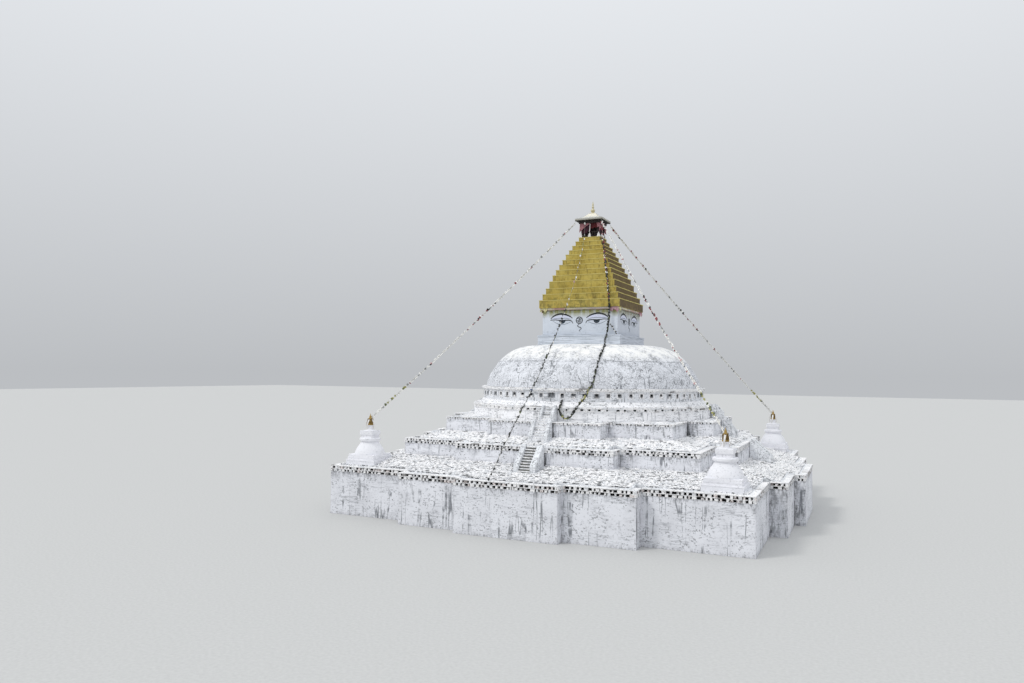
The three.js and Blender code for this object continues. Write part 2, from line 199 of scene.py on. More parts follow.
class Pile:
    """Many small pieces in one mesh."""

    def __init__(self, seed=0):
        self.vertices, self.faces, self.kinds = [], [], []
        self.random = random.Random(seed)

    def add(self, corners, faces, kind=0):
        """Faces with one kind for all of them, or with a list of kinds."""
        start = len(self.vertices)
        self.vertices.extend(corners)
        self.faces.extend(tuple(start + i for i in face) for face in faces)
        self.kinds.extend(kind if isinstance(kind, list) else [kind] * len(faces))

    def brick(self, place, a, b, c, jitter=0.0, kind=0, lean=0.0):
        """A stone from a[0] to a[1] along a place, b outwards and c upwards, leaning up or down outwards."""
        corners = []
        for k, j, i in product((0, 1), repeat=3):
            shake = [self.random.uniform(-jitter, jitter) for _ in range(3)]
            height = c[k] + shake[2] * 0.6 + lean * (b[j] - b[0])
            level = place.along * (a[i] + shake[0]) + place.out * (b[j] + shake[1])
            corners.append(place.start + level + UP * height)
        self.add(corners, BRICK_FACES, kind)

    def lengths(self, begin, end, wide, least=0.0):
        """Where stones of random widths begin and end. One that would leave less than the least goes on."""
        while begin < end - 1e-6:
            stop = min(end, begin + self.random.uniform(*wide))
            if end - stop < least:
                stop = end
            yield begin, stop
            begin = stop

    def make(self, name, *finishes, smooth=None, slot="whitewash"):
        return add_mesh(name, self.vertices, self.faces, finishes, slot, smooth, self.kinds)


def smooth_route(points, parts=4):
    """Points along a centripetal Catmull-Rom curve through the given points."""
    def between(p, q, start, end):
        return p * ((end - t) / (end - start)) + q * ((t - start) / (end - start))

    points = [Vector(p) for p in points]
    line = []
    for i in range(len(points) - 1):
        b, c = points[i], points[i + 1]
        a = points[i - 1] if i else b * 2 - c
        d = points[i + 2] if i + 2 < len(points) else c * 2 - b
        k1 = max((b - a).length, 1e-6) ** 0.5
        k2 = k1 + max((c - b).length, 1e-6) ** 0.5
        k3 = k2 + max((d - c).length, 1e-6) ** 0.5
        for j in range(parts):
            t = k1 + (k2 - k1) * j / parts
            ab, bc, cd = between(a, b, 0, k1), between(b, c, k1, k2), between(c, d, k2, k3)
            line.append(between(between(ab, bc, 0, k2), between(bc, cd, k1, k3), k1, k2))
    line.append(points[-1])
    return line


def smooth_profile(points, parts):
    """A profile of [radius, height] with a smooth curve through its points."""
    line = smooth_route([(r, 0, z) for r, z in points], parts)
    return [(max(p.x, 0.001), p.z) for p in line]


STONE_LONG, STONE_TALL = 0.45, 0.28


def rough(point, size, amount):
    """Uneven masonry: soft swellings and single stones that stand out."""
    stone = Vector((round(point.x / STONE_LONG), round(point.y / STONE_LONG), round(point.z / STONE_TALL)))
    return amount * (0.5 + 0.3 * noise.noise(point / size) + 0.35 * noise.noise(stone * 3.7))


def lathe(name, profile, segments, finish, smooth, amount=0.0, centre=Vector(), slot="whitewash", size=0.9):
    """A round piece with a profile of [radius, height], uneven by an amount."""
    rings = []
    for radius, z in profile:
        ring = []
        for i in range(segments):
            place = at_angle(2 * math.pi * i / segments, radius)
            spot = centre + UP * z + place.start
            ring.append(spot + place.out * (rough(spot, size, amount) - amount * 0.6))
        rings.append(ring)
    return skin(name, rings, finish, slot, smooth)


# helpers for materials
def srgb(colour):
    """Linear colour of a colour that is read as 0 to 255."""
    shares = [value / 255 for value in colour]
    return tuple(s / 12.92 if s <= 0.04045 else ((s + 0.055) / 1.055) ** 2.4 for s in shares)


class Finish:
    """A Principled material whose colour is laid on in layers of small procedural parts."""

    def __init__(self, name, base, roughness=0.9):
        self.material = bpy.data.materials.new(name)
        self.material.use_nodes = True
        self.tree = self.material.node_tree
        self.shader = self.tree.nodes["Principled BSDF"]
        self.shader.inputs["Roughness"].default_value = roughness
        self.coords = self.node("ShaderNodeTexCoord", "Object")
        self.shown = srgb(base)

    def fill(self, node, inputs):
        """Gives a node's inputs, by name or number, their values, colours or other nodes' outputs."""
        for key, value in inputs.items():
            socket = node.inputs[key]
            if isinstance(value, bpy.types.NodeSocket):
                self.tree.links.new(value, socket)
            elif isinstance(value, tuple) and len(value) < len(socket.default_value):
                socket.default_value = (*value, 1)
            else:
                socket.default_value = value

    def node(self, kind, output, inputs=None, **settings):
        """A new node, of which one output is given back."""
        node = self.tree.nodes.new(kind)
        for key, value in settings.items():
            setattr(node, key, value)
        self.fill(node, inputs or {})
        return node.outputs[output]

    def scaled(self, x, y, z):
        return self.node("ShaderNodeMapping", "Vector", {"Vector": self.coords, "Scale": (x, y, z)})

    def noise(self, scale, detail, rough=0.55, vector=None):
        inputs = {"Vector": vector or self.coords, "Scale": scale, "Detail": detail, "Roughness": rough}
        return self.node("ShaderNodeTexNoise", "Fac", inputs)

    def remap(self, value, low, high, none=0.0, full=1.0):
        inputs = {"Value": value, "From Min": low, "From Max": high, "To Min": none, "To Max": full}
        return self.node("ShaderNodeMapRange", "Result", inputs)

    def patches(self, scale, detail, rough, low, high, none=0.0, full=1.0, vector=None):
        """A share that goes from none to full where a noise goes from low to high."""
        return self.remap(self.noise(scale, detail, rough, vector), low, high, none, full)

    def math(self, operation, a, b=0.0):
        return self.node("ShaderNodeMath", 0, {0: a, 1: b}, operation=operation, use_clamp=operation == "ADD")

    def times(self, a, b):
        return self.math("MULTIPLY", a, b)

    def contour(self, value, width, strength):
        """Thin lines where a noise passes its middle value."""
        apart = self.math("ABSOLUTE", self.math("SUBTRACT", value, 0.5))
        return self.remap(apart, width * 0.4, width, strength, 0)

    def at_height(self, low, high, none=0.0, full=1.0):
        """A share that goes from none to full from one height to another."""
        return self.remap(self.node("ShaderNodeSeparateXYZ", "Z", {0: self.coords}), low, high, none, full)

    def right_side_shade(self, full):
        """A share of the faces that look to the right of the front, for painted shade there."""
        normal = self.node("ShaderNodeNewGeometry", "Normal")
        return self.remap(self.node("ShaderNodeSeparateXYZ", "X", {0: normal}), 0.4, 0.7, 0, full)

    def mix(self, share, a, b):
        return self.node("ShaderNodeMix", 2, {0: share, 6: a, 7: b}, data_type="RGBA")

    def lay(self, share, colour):
        """Lays a colour, read as 0 to 255, over what shows so far."""
        self.shown = self.mix(share, self.shown, srgb(colour))

    def darken(self, share, left):
        """Lays a darker shade of the base colour over it, before any other layer."""
        self.shown = self.mix(share, self.shown, tuple(value * left for value in self.shown))

    def bump(self, scale, distance, strength, detail=6, rough=0.7):
        inputs = {"Height": self.noise(scale, detail, rough), "Distance": distance, "Strength": strength}
        self.fill(self.shader, {"Normal": self.node("ShaderNodeBump", "Normal", inputs)})

    def done(self):
        self.fill(self.shader, {"Base Color": self.shown})
        return self.material


# marks on the limewash
GRIME, SOOT = (120, 123, 128), (84, 87, 90)
# a mesh attribute that holds damp together with painted shade in corners, gullies and under the coping
DAMP_AND_SHADE = "damp_and_shade"


def limewash(name, base, clouds):
    made = Finish(name, base)
    made.lay(made.patches(0.5, 4, 0.6, 0.42, 0.7, 0, clouds), [value - 24 for value in base])
    return made


def add_hairlines(made, strength, pitch=0.9, width=0.018):
    """Thin dark runs of rain: long upright lines that wander a little and are broken here and there."""
    upright = made.noise(1.0, 2, 0.5, made.scaled(1.4 / pitch, 1.4 / pitch, 0.1))
    broken = made.patches(0.8, 4, 0.65, 0.46, 0.58)
    made.lay(made.times(made.contour(upright, width, strength), broken), GRIME)


def add_flecks(made, strength, size=0.16):
    """Dark spots where the limewash has come off, in loose clusters."""
    spots = made.patches(1 / size, 3, 0.65, 0.575, 0.625, 0, strength, made.scaled(1, 1, 1.4))
    made.lay(made.times(spots, made.patches(0.7, 4, 0.6, 0.4, 0.6, 0.25, 1)), SOOT)


def add_cracks(made, strength, size=0.42, low=0.46, high=0.56):
    """A loose net of cracks between the plastered stones, that soft noise pushes about."""
    push = made.node("ShaderNodeTexNoise", "Color", {"Vector": made.coords, "Scale": 2.0})
    pushed = made.node("ShaderNodeVectorMath", 0, {0: push, 1: (0.6, 0.6, 0.6), 2: made.scaled(1, 1, 1.3)},
                       operation="MULTIPLY_ADD")
    net = made.node("ShaderNodeTexVoronoi", "Distance", {"Vector": pushed, "Scale": 1 / size},
                    feature="DISTANCE_TO_EDGE")
    lines = made.remap(net, 0.03, 0.1, strength, 0)
    made.lay(made.times(lines, made.patches(1.5, 4, 0.65, low, high)), GRIME)


def add_courses(made, strength, pitch=0.25):
    """Wavy level lines of stone courses that show through."""
    lines = made.contour(made.noise(1.0, 3, 0.6, made.scaled(0.4, 0.4, 1 / pitch)), 0.035, strength)
    made.lay(made.times(lines, made.patches(0.9, 4, 0.6, 0.45, 0.6)), GRIME)


def add_damp_and_shade(made):
    """Damp and painted shade where the mesh's attribute for them says so: a soft grey, fine spots and dark
    upright streaks.
    """
    damp_and_shade = made.node("ShaderNodeAttribute", "Fac", attribute_name=DAMP_AND_SHADE)
    # a soft grey, partly painted shade, where the attribute is high
    made.lay(made.remap(damp_and_shade, 0, 1, 0, 0.3), (150, 153, 160))
    spots = made.patches(5.0, 4, 0.7, 0.5, 0.55, vector=made.scaled(1.2, 1.2, 0.7))
    made.lay(made.times(spots, made.remap(damp_and_shade, 0.35, 0.9, 0, 0.9)), (74, 68, 64))
    streaks = made.noise(2.6, 6, 0.75, made.scaled(2.0, 2.0, 0.6))
    streak_level = made.math("ADD", streaks, made.remap(damp_and_shade, 0.5, 1, 0, 0.14))
    dark_streaks = made.times(made.remap(damp_and_shade, 0.05, 0.6), made.remap(streak_level, 0.48, 0.56))
    made.lay(made.times(dark_streaks, 0.8), (60, 62, 64))


def wall_finish(name, base, clouds, hairlines, flecks, cracks=0.0, courses=0.0, hair_width=0.018):
    """Limewash over rubble stone, with as much of each mark as the numbers say."""
    made = limewash(name, base, clouds)
    if courses:
        add_courses(made, courses)
    if cracks:
        add_cracks(made, cracks)
    add_hairlines(made, hairlines, width=hair_width)
    add_flecks(made, flecks)
    add_damp_and_shade(made)
    made.bump(3.5, 0.05, 0.7)
    return made.done()


def dome_finish():
    """Finely crackled limewash, with a clean white coat above a seam."""
    made = limewash("dome wall", (238, 240, 245), 0.5)
    add_cracks(made, 0.6, 0.2, 0.36, 0.62)
    add_cracks(made, 0.4, 0.5, 0.42, 0.6)
    add_hairlines(made, 0.85, 1.1, 0.024)
    add_flecks(made, 0.9, 0.1)
    add_flecks(made, 0.85, 0.18)
    coat = made.at_height(SEAM_HEIGHT - 0.05, SEAM_HEIGHT + 0.6, 0, 0.85)
    made.lay(made.times(coat, made.patches(1.5, 4, 0.55, 0.42, 0.62, 1, 0.3)), (253, 252, 248))
    seam = made.times(made.at_height(SEAM_HEIGHT - 0.07, SEAM_HEIGHT - 0.03),
                      made.at_height(SEAM_HEIGHT + 0.04, SEAM_HEIGHT))
    made.lay(made.times(seam, made.patches(1.1, 3, 0.55, 0.42, 0.56, 0.1, 0.6)), GRIME)
    made.bump(3.5, 0.05, 0.7)
    return made.done()


def stone_finish(name, base, dark, speckle=0.8, spotted=0.575):
    """Small limewashed stones: each loose stone has its own shade, and spots from a noise level up."""
    made = Finish(name, base, 0.92)
    own = made.node("ShaderNodeNewGeometry", "Random Per Island")
    made.lay(made.remap(own, 0.55, 1.0, 0, 0.6), (204, 208, 213))
    made.lay(made.remap(own, 0.04, 0.06, 0.75, 0), dark)
    made.lay(made.patches(8.5, 3, 0.7, spotted, spotted + 0.045, 0, speckle), dark)
    made.bump(14, 0.02, 0.7)
    return made.done()


def drum_finish():
    """Limewash with level lines, and painted shade in the niches behind the face, near black towards their
    top.
    """
    made = limewash("drum wall", (238, 240, 244), 0.4)
    add_courses(made, 0.7, 0.3)
    add_hairlines(made, 0.8, 0.6)
    add_flecks(made, 0.8, 0.14)
    reach = made.node("ShaderNodeVectorMath", "Value", {0: made.scaled(1, 1, 0)}, operation="LENGTH")
    # painted shade inside the niches: light grey low down and near black towards their top
    behind = made.remap(reach, DRUM_RADIUS - 0.03, DRUM_RADIUS - 0.12)
    niche_top_shade = made.at_height(NICHE["sill"] + 0.05, NICHE["sill"] + 0.26)
    uneven_niche_shade = made.times(niche_top_shade, made.patches(1.6, 2, 0.55, 0.4, 0.56, 0.35, 1))
    niche_shade_colour = made.mix(uneven_niche_shade, srgb((214, 216, 219)), srgb((30, 31, 33)))
    made.shown = made.mix(behind, made.shown, niche_shade_colour)
    made.bump(5, 0.03, 0.7)
    return made.done()


def spire_finish():
    """Weathered ochre yellow, greener low down, with painted shade in brown on the side to the right of the
    front.
    """
    made = Finish("spire paint", (196, 177, 92), 0.8)
    made.lay(made.patches(0.8, 5, 0.62, 0.35, 0.7), (170, 148, 62))
    low_part = made.at_height(TOWER_TOP, TOWER_TOP + 3.5, 0.8, 0)
    made.lay(made.times(low_part, made.patches(1.7, 6, 0.7, 0.45, 0.6)), (112, 108, 56))
    made.lay(made.patches(3.2, 5, 0.7, 0.56, 0.66, 0, 0.55), (112, 94, 44))
    made.lay(made.patches(2.4, 6, 0.66, 0.54, 0.7, 0, 0.4, made.scaled(1.6, 1.6, 0.5)), (112, 94, 46))
    joints = made.noise(1.0, 2, 0.5, made.scaled(1.3, 1.3, 0.08))
    made.lay(made.contour(joints, 0.014, 0.4), (92, 78, 38))
    # painted shade: the faces to the right of the front are laid dark brown
    made.lay(made.right_side_shade(0.82), (76, 55, 38))
    made.bump(6, 0.03, 0.6)
    return made.done()


def tower_finish():
    """Smooth pale blue-white paint, stained green below the cloth and grey at the foot, with painted shade on
    the side to the right of the front.
    """
    made = Finish("tower paint", (220, 226, 235), 0.8)
    made.lay(made.patches(0.7, 4, 0.6, 0.35, 0.7), (206, 213, 223))
    high = made.at_height(TOWER_TOP - 0.95, TOWER_TOP - 0.4)
    runs = made.patches(1.8, 5, 0.6, 0.36, 0.54, 0.3, 1, made.scaled(1.4, 1.4, 0.16))
    made.lay(made.times(high, runs), (150, 148, 92))
    low = made.at_height(TOWER_BASE_TOP + 0.47, TOWER_BASE_TOP)
    level_lines = made.patches(2.2, 5, 0.6, 0.47, 0.62, 0, 0.65, made.scaled(0.25, 0.25, 5))
    made.lay(made.times(low, level_lines), (136, 144, 153))
    made.lay(made.patches(6, 4, 0.65, 0.6, 0.68, 0, 0.4), (132, 139, 147))
    # painted shade: the faces to the right of the front are laid greyer
    made.lay(made.right_side_shade(0.35), (176, 178, 188))
    made.bump(4, 0.015, 0.5, rough=0.6)
    return made.done()


def cloth_finish(name, light, dark, scale=3.0):
    made = Finish(name, light, 0.95)
    made.lay(made.patches(scale, 5, 0.65, 0.35, 0.65), dark)
    made.bump(60, 0.004, 0.5, 2, 0.55)
    return made.done()


def strip_finish():
    """The faded strip below the spire: grey, cream and pinkish parts with a red-brown lower edge."""
    made = Finish("faded strip", (226, 220, 196), 0.95)
    made.lay(made.patches(0.9, 3, 0.55, 0.42, 0.58), (198, 190, 190))
    made.lay(made.patches(0.6, 3, 0.55, 0.52, 0.62), (205, 168, 164))
    hem = TOWER_TOP - 0.17
    made.lay(made.at_height(hem + 0.05, hem - 0.03, 0, 0.85), (124, 88, 76))
    made.bump(40, 0.004, 0.5, 2, 0.55)
    return made.done()


def canopy_finish():
    """Cream sheet metal that is greyer towards the rim."""
    made = Finish("canopy cream", (242, 237, 220), 0.6)
    made.lay(made.patches(5, 5, 0.7, 0.4, 0.7, 0, 0.4), (196, 188, 164))
    made.lay(made.at_height(CANOPY_RIM_TOP + 0.36, CANOPY_RIM_TOP, 0, 0.85), (158, 163, 166))
    return made.done()


def plain(name, colour):
    made = Finish(name, colour)
    made.darken(made.patches(6, 5, 0.55, 0.3, 0.7, 0, 0.35), 0.7)
    return made.done()


def paint(name, colour, roughness=0.8, metal=0.0):
    made = Finish(name, colour, roughness)
    made.darken(made.patches(5, 5, 0.7, 0.4, 0.7, 0, 0.4), 0.62)
    made.shader.inputs["Metallic"].default_value = metal
    return made.done()


terrace_wall = wall_finish("terrace wall", (238, 239, 244), 0.7, 0.85, 0.75, courses=0.4, hair_width=0.023)
paved = wall_finish("paving bed", (236, 238, 241), 0.3, 0.2, 0.9, cracks=0.5)
dome_wall = dome_finish()
ring_wall = wall_finish("ring wall", (252, 252, 254), 0.2, 0.8, 0.7, courses=0.6)
small_wall = wall_finish("small stupa wall", (240, 240, 244), 0.25, 0.0, 0.3)
stair_wall = wall_finish("stair wall", (240, 242, 245), 0.5, 0.7, 0.95, cracks=0.5, courses=0.4)
coping_white = stone_finish("coping stones", (247, 246, 246), (88, 84, 80))
coping_brown = stone_finish("stained coping stones", (228, 220, 218), (84, 76, 72), 0.9, 0.53)
slab_white = stone_finish("paving slabs", (250, 249, 249), (104, 106, 108), 0.85, 0.555)
slab_clean = stone_finish("clean paving slabs", (252, 251, 251), (112, 114, 116), 0.75, 0.58)
# painted shade: a near black core behind coping and ring stones that shows in their gaps
gap_shade = paint("gaps between stones", (14, 13, 12), 0.98)
# painted shade: the lower edges of some paving slabs
slab_edge_shade = paint("dark slab edges", (104, 104, 106), 0.95)
riser_white = wall_finish("white risers", (244, 245, 248), 0.3, 0.3, 0.7)
# painted shade: grey for the risers of the lowest flight
riser_shade_grey = wall_finish("grey risers", (118, 118, 116), 0.6, 0.3, 0.9)
niche_grey = paint("niche frames", (150, 153, 157), 0.9)
drum_wall = drum_finish()
tower_paint = tower_finish()
spire_paint = spire_finish()
spire_edge = paint("spire edges", (206, 192, 116))
line_paint = paint("painted lines", (30, 34, 40))
iris_paint = paint("painted irises", (58, 72, 82))
lid_paint = paint("painted lids", (122, 132, 144))
lilac_paint = paint("painted eyelids", (218, 222, 240))
canopy_cream = canopy_finish()
rim_light = paint("canopy lip", (232, 230, 222), 0.7)
rim_grey = paint("canopy rim", (176, 174, 164), 0.7)
rim_dark = paint("canopy shadow edge", (44, 42, 34))
dull_gilt = paint("dull gilding", (206, 196, 160), 0.5, 0.25)
worn_gilt = paint("worn gilding", (172, 142, 76), 0.6, 0.2)
timber = paint("dark timber", (48, 40, 38), 0.85)
pink_cloth = cloth_finish("pink cloth", (192, 142, 144), (146, 96, 104))
pink_bunch = cloth_finish("pink bunch", (214, 182, 190), (168, 122, 134), 5)
red_cloth = cloth_finish("dark red cloth", (92, 24, 28), (54, 16, 20))
plum_cloth = cloth_finish("plum cloth", (66, 28, 44), (40, 18, 28))
strip_cloth = strip_finish()
yellow_cloth = cloth_finish("pale yellow cloth", (236, 232, 196), (196, 190, 132), 6)
white_cloth = cloth_finish("white cloth", (244, 242, 238), (214, 212, 210))
wrap_cloth = cloth_finish("gold-brown cloth", (160, 134, 76), (88, 68, 42), 8)
cord_cloth = plain("cord", (150, 148, 140))

CAD_FINISHES = {
    "lower_terrace": paved, "middle_terrace": paved, "upper_terrace": paved,
    "lower_coping": coping_white, "middle_coping": coping_white, "upper_coping": coping_white,
    "base_ring": ring_wall, "drum": drum_wall, "drum_cornice": coping_white, "dome": dome_wall,
    "tower_base": tower_paint, "tower": tower_paint, "tower_cloth": strip_cloth, "spire": spire_paint,
    "pavilion": timber, "valance": pink_cloth, "canopy": canopy_cream, "pinnacle": dull_gilt,
    "lower_stair": stair_wall, "middle_stair": stair_wall, "upper_stair": stair_wall,
    "corner_stupa": small_wall, "corner_finial": worn_gilt, "garland": cord_cloth,
}


def dress_cad_nodes():
    """Every CAD node gets the finish of its family, the longest beginning of its name that is listed."""
    for part in frame["record"]["subparts"]:
        family = part["node"]
        while family not in CAD_FINISHES:
            family = family.rpartition("_")[0]
        piece = nodes[part["node"]]
        piece.data.materials.clear()
        piece.data.materials.append(CAD_FINISHES[family])


dress_cad_nodes()

# cords: the strings of flags, each with its small flags
CORD = 0.02
CORNER_ROUTE = [
    (1.3, 26.2596), (1.3, 26.15), (1.42, 25.9), (1.97, 25.12), (2.91, 23.77), (3.98, 22.24),
    (5.05, 20.73), (6.12, 19.24), (7.2, 17.76), (8.27, 16.3), (9.34, 14.86), (10.41, 13.44),
    (11.48, 12.035), (12.56, 10.65), (13.36, 9.62), (14.03, 8.77), (14.5, 8.14), (14.65, 7.945),
    (14.68, 7.93), (14.705, 7.93)]
FRONT_ROUTE = [
    (-0.35, -1.2, 26.2596), (-0.35, -1.2, 26.15), (-0.35, -1.26, 25.7), (-0.36, -1.4, 24.9),
    (-0.39, -1.73, 23.64), (-0.44, -2.31, 22.42), (-0.47, -2.85, 21.33), (-0.51, -3.55, 20.18),
    (-0.55, -4.38, 19.05), (-0.59, -5.3, 17.86), (-0.64, -6.29, 16.64), (-0.7, -7.33, 15.42),
    (-0.76, -8.48, 14.12), (-0.83, -9.7, 12.82), (-0.9, -10.95, 11.55), (-0.97, -12.26, 10.31),
    (-1.06, -13.6, 9.08), (-1.16, -15.35, 7.54), (-1.25, -17.0, 5.92), (-1.33, -18.3, 4.65),
    (-1.365, -18.8, 4.18), (-1.37, -18.91, 4.07), (-1.37, -18.91, 4.0004)]
DOME_ROUTE = [
    (1.25, -1.25, 26.2596), (1.25, -1.25, 26.15), (1.33, -1.39, 25.6), (1.53, -1.72, 24.75),
    (1.83, -2.2, 23.4), (2.15, -2.7, 21.98), (2.46, -3.19, 20.6), (2.74, -3.66, 19.26),
    (2.9, -3.905, 18.6), (2.93, -3.91, 17.75), (2.86, -3.95, 16.44), (2.68, -3.985, 15.36),
    (2.74, -4.3, 15.12), (2.96, -5.15, 14.7), (3.2, -5.9, 14.31), (3.332, -6.885, 13.905),
    (3.373, -7.735, 13.34), (3.376, -8.3, 12.775), (3.376, -8.745, 12.18), (3.352, -9.15, 11.57),
    (3.297, -9.385, 11.06), (3.265, -9.48, 10.8), (3.23, -9.7, 10.665), (3.2, -9.935, 10.65),
    (3.18, -10.12, 10.49), (3.01, -10.52, 9.9), (2.7, -10.9, 9.43), (2.45, -11.27, 8.88),
    (2.12, -11.45, 8.39), (1.74, -11.48, 8.24), (1.42, -11.45, 8.45), (1.22, -11.38, 8.84),
    (1.13, -11.25, 9.07), (1.08, -11.06, 9.13), (1.01, -10.74, 9.17), (0.975, -10.5, 9.37),
    (0.955, -10.31, 9.58), (0.9476, -10.2262, 9.62), (0.9412, -10.1568, 9.62)]
TAIL_ROUTE = [
    (2.871, -3.949, 16.44), (2.92, -3.949, 16.43), (3.0, -3.94, 16.33), (3.12, -3.91, 16.15),
    (3.24, -3.87, 15.96), (3.36, -3.83, 15.77), (3.48, -3.79, 15.57), (3.56, -3.765, 15.41),
    (3.59, -3.755, 15.33), (3.54, -3.75, 15.297), (3.43, -3.752, 15.294), (3.28, -3.758, 15.294),
    (3.12, -3.762, 15.294), (2.98, -3.762, 15.3), (2.89, -3.76, 15.32), (2.85, -3.758, 15.322),
    (2.818, -3.758, 15.306), (2.818, -3.758, 15.2804)]
FLAG_COLOURS = {
    "white": (244, 243, 239), "grey": (158, 160, 160), "dark": (34, 38, 36), "red": (146, 62, 70),
    "pink": (206, 164, 166), "yellow": (176, 172, 104), "green": (92, 102, 62), "blue": (72, 86, 124)}
FLAG_KINDS = list(FLAG_COLOURS)
BARE = "bare"
FLAG_CLOTHS = [plain(name + " flags", FLAG_COLOURS[name]) for name in FLAG_KINDS]
FLAG_ROWS, FLAG_COLUMNS = 3, 3
FIRST_FLAG = 0.3


def flag(at, along, away, half, drop, across, twist):
    """Points of one flag: three rows of three, from the cord away, slightly twisted and frayed."""
    points = []
    for v in range(FLAG_ROWS):
        down = v / (FLAG_ROWS - 1)
        for u in (-1, 0, 1):
            fray = 1 - 0.25 * v * random.random()
            points.append(at + along * (half * u * fray) + away * (drop * down * 0.98)
                          + across * (twist * down * u * 0.5))
    return points


def flags_on(name, line, pitch, reach, long, choose, sheaf):
    """Small single-layer flags along a line, in sheaves: most hang, some are blown up or aside."""
    pile = Pile()
    walked, place = 0.0, FIRST_FLAG
    for a, b in zip(line, line[1:]):
        span = (b - a).length
        along = (b - a).normalized()
        across = along.cross(UP).normalized()
        down = -across.cross(along)
        while place < walked + span:
            at = a.lerp(b, (place - walked) / span)
            place += pitch * random.uniform(0.7, 1.3)
            kind = choose(at)
            if kind == BARE:
                continue
            for index in range(random.randint(*sheaf)):
                most = math.pi if index else 0.6
                turn = random.uniform(-most, most)
                away = across * math.sin(turn) + down * math.cos(turn)
                drop = reach * random.uniform(0.72, 1.0)
                half = long / 2 * random.uniform(0.7, 1.1)
                twist = random.uniform(-0.25, 0.25) * reach
                pile.add(flag(at, along, away, half, drop, across, twist),
                         grid_faces(FLAG_ROWS, FLAG_COLUMNS), FLAG_KINDS.index(kind))
        walked += span
    return pile.make(name, *FLAG_CLOTHS, slot="garland_cord")


def string(name, route, pitch, reach, long, choose, sheaf=(1, 2)):
    """A limp cord along a route, with flags at a pitch that reach out and are so long."""
    line = smooth_route(route)
    data = bpy.data.curves.new(name, "CURVE")
    data.dimensions = "3D"
    data.bevel_depth = CORD / 2
    data.bevel_resolution = 1
    data.use_fill_caps = True
    spline = data.splines.new("POLY")
    spline.points.add(len(line) - 1)
    for point, spot in zip(spline.points, line):
        point.co = (*spot, 1)
    data.materials.append(cord_cloth)
    made = add_object(name, data)
    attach(made, "root")
    flags = flags_on(name + "_flags", line, pitch, reach, long, choose, sheaf)
    length = sum((b - a).length for a, b in zip(line, line[1:]))
    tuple(line[0])
    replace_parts(made, "garland_" + name.removeprefix("string_"))


def mixture(**shares):
    return random.choices(list(shares), list(shares.values()))[0]


# the kinds of flags change at heights that are read from the photograph
def corner_flags(at):
    if at.z < 8.9:
        return mixture(white=90, grey=10)
    if at.z < 10.6:
        return mixture(white=46, yellow=40, green=14)
    if 15.5 < at.z < 18.4:
        return mixture(white=56, grey=10, red=20, dark=14)
    return mixture(white=84, grey=8, pink=3, red=3, dark=2)


def front_flags(at):
    if at.z > 17.9:
        return mixture(white=46, yellow=8, pink=3, grey=5, bare=38 if at.z < 24.4 else 400)
    if at.z > 7.5:
        return mixture(dark=74, grey=10, white=6, green=6, blue=4)
    return mixture(dark=60, grey=20, white=20)


def dome_flags(at):
    if at.z > 18.2:
        return mixture(dark=50, red=32, white=18)
    on_the_drum = 9.6 < at.z < 10.7 and at.x > 2.6
    if on_the_drum or at.z < 8.45:
        return mixture(yellow=34, green=32, dark=34)
    return mixture(dark=84, green=14, grey=2)


def tail_flags(at):
    return mixture(dark=86, white=14)


def add_strings():
    for corner, (sx, sy) in CORNER_SIGNS.items():
        route = [(out * sx, out * sy, z) for out, z in CORNER_ROUTE]
        string("string_" + corner, route, 0.13, 0.12, 0.2, corner_flags, (2, 4))
    string("string_front", FRONT_ROUTE, 0.17, 0.125, 0.22, front_flags, (1, 3))
    string("string_dome", DOME_ROUTE, 0.09, 0.13, 0.2, dome_flags, (2, 4))
    string("string_tail", TAIL_ROUTE, 0.14, 0.11, 0.14, tail_flags)


add_strings()


# terraces
def outline(terrace, grow=0.0):
    """Corner points all round a terrace with its bays, moved outwards."""
    corner = terrace["corner"] + grow
    left, face = [], corner
    for half, reach in terrace["bays"]:
        left += [(-half - grow, -face), (-half - grow, -reach - grow)]
        face = reach + grow
    side = [(-corner, -corner)] + left + [(-x, y) for x, y in reversed(left)]
    return [turned(Vector((x, y, 0)), turn) for turn in range(4) for x, y in side]


def edges(terrace, grow=0.0):
    """Every straight part of a terrace's outline, as a place to lay stones."""
    points = outline(terrace, grow)
    for start, end in zip(points, points[1:] + points[:1]):
        along = (end - start).normalized()
        yield Place(start, along, Vector((along.y, -along.x, 0)), (end - start).length)


def inside(point, polygon):
    """Whether a point lies inside a polygon, as seen from above."""
    within = False
    for i, a in enumerate(polygon):
        b = polygon[i - 1]
        if (a.y > point.y) != (b.y > point.y):
            if point.x < a.x + (b.x - a.x) * (point.y - a.y) / (b.y - a.y):
                within = not within
    return within


RETURN_LENGTH, SHELTERED, OUTER_CORNER = 2.5, 0.3, 0.3


def dry_and_lit_offset(before, after):
    """Nothing where two edges meet at an inner corner, and a distance where they meet at an outer one."""
    return OUTER_CORNER if before.along.cross(after.along).z > 0 else 0.0


def ring_columns(terrace, step):
    """Places round a terrace with their outward directions, and how far each is from an inner corner.

    The short return faces of the bays are sheltered, so all of them counts as near a corner.
    """
    walls = list(edges(terrace))
    columns = []
    for before, wall, after in zip(walls[-1:] + walls, walls, walls[1:] + walls[:1]):
        start_dry_and_lit, end_dry_and_lit = dry_and_lit_offset(before, wall), dry_and_lit_offset(wall, after)
        columns.append((wall.start, wall.out + before.out, start_dry_and_lit))
        share = SHELTERED if wall.length < RETURN_LENGTH else 1.0
        parts = max(2, round(wall.length / step))
        for j in range(1, parts):
            gone, left = wall.length * j / parts, wall.length * (parts - j) / parts
            corner = share * min(gone + start_dry_and_lit, left + end_dry_and_lit)
            columns.append((wall.start + wall.along * gone, wall.out, corner))
    return columns


ON_THE_WALL, BESIDE = 0.1, 0.06


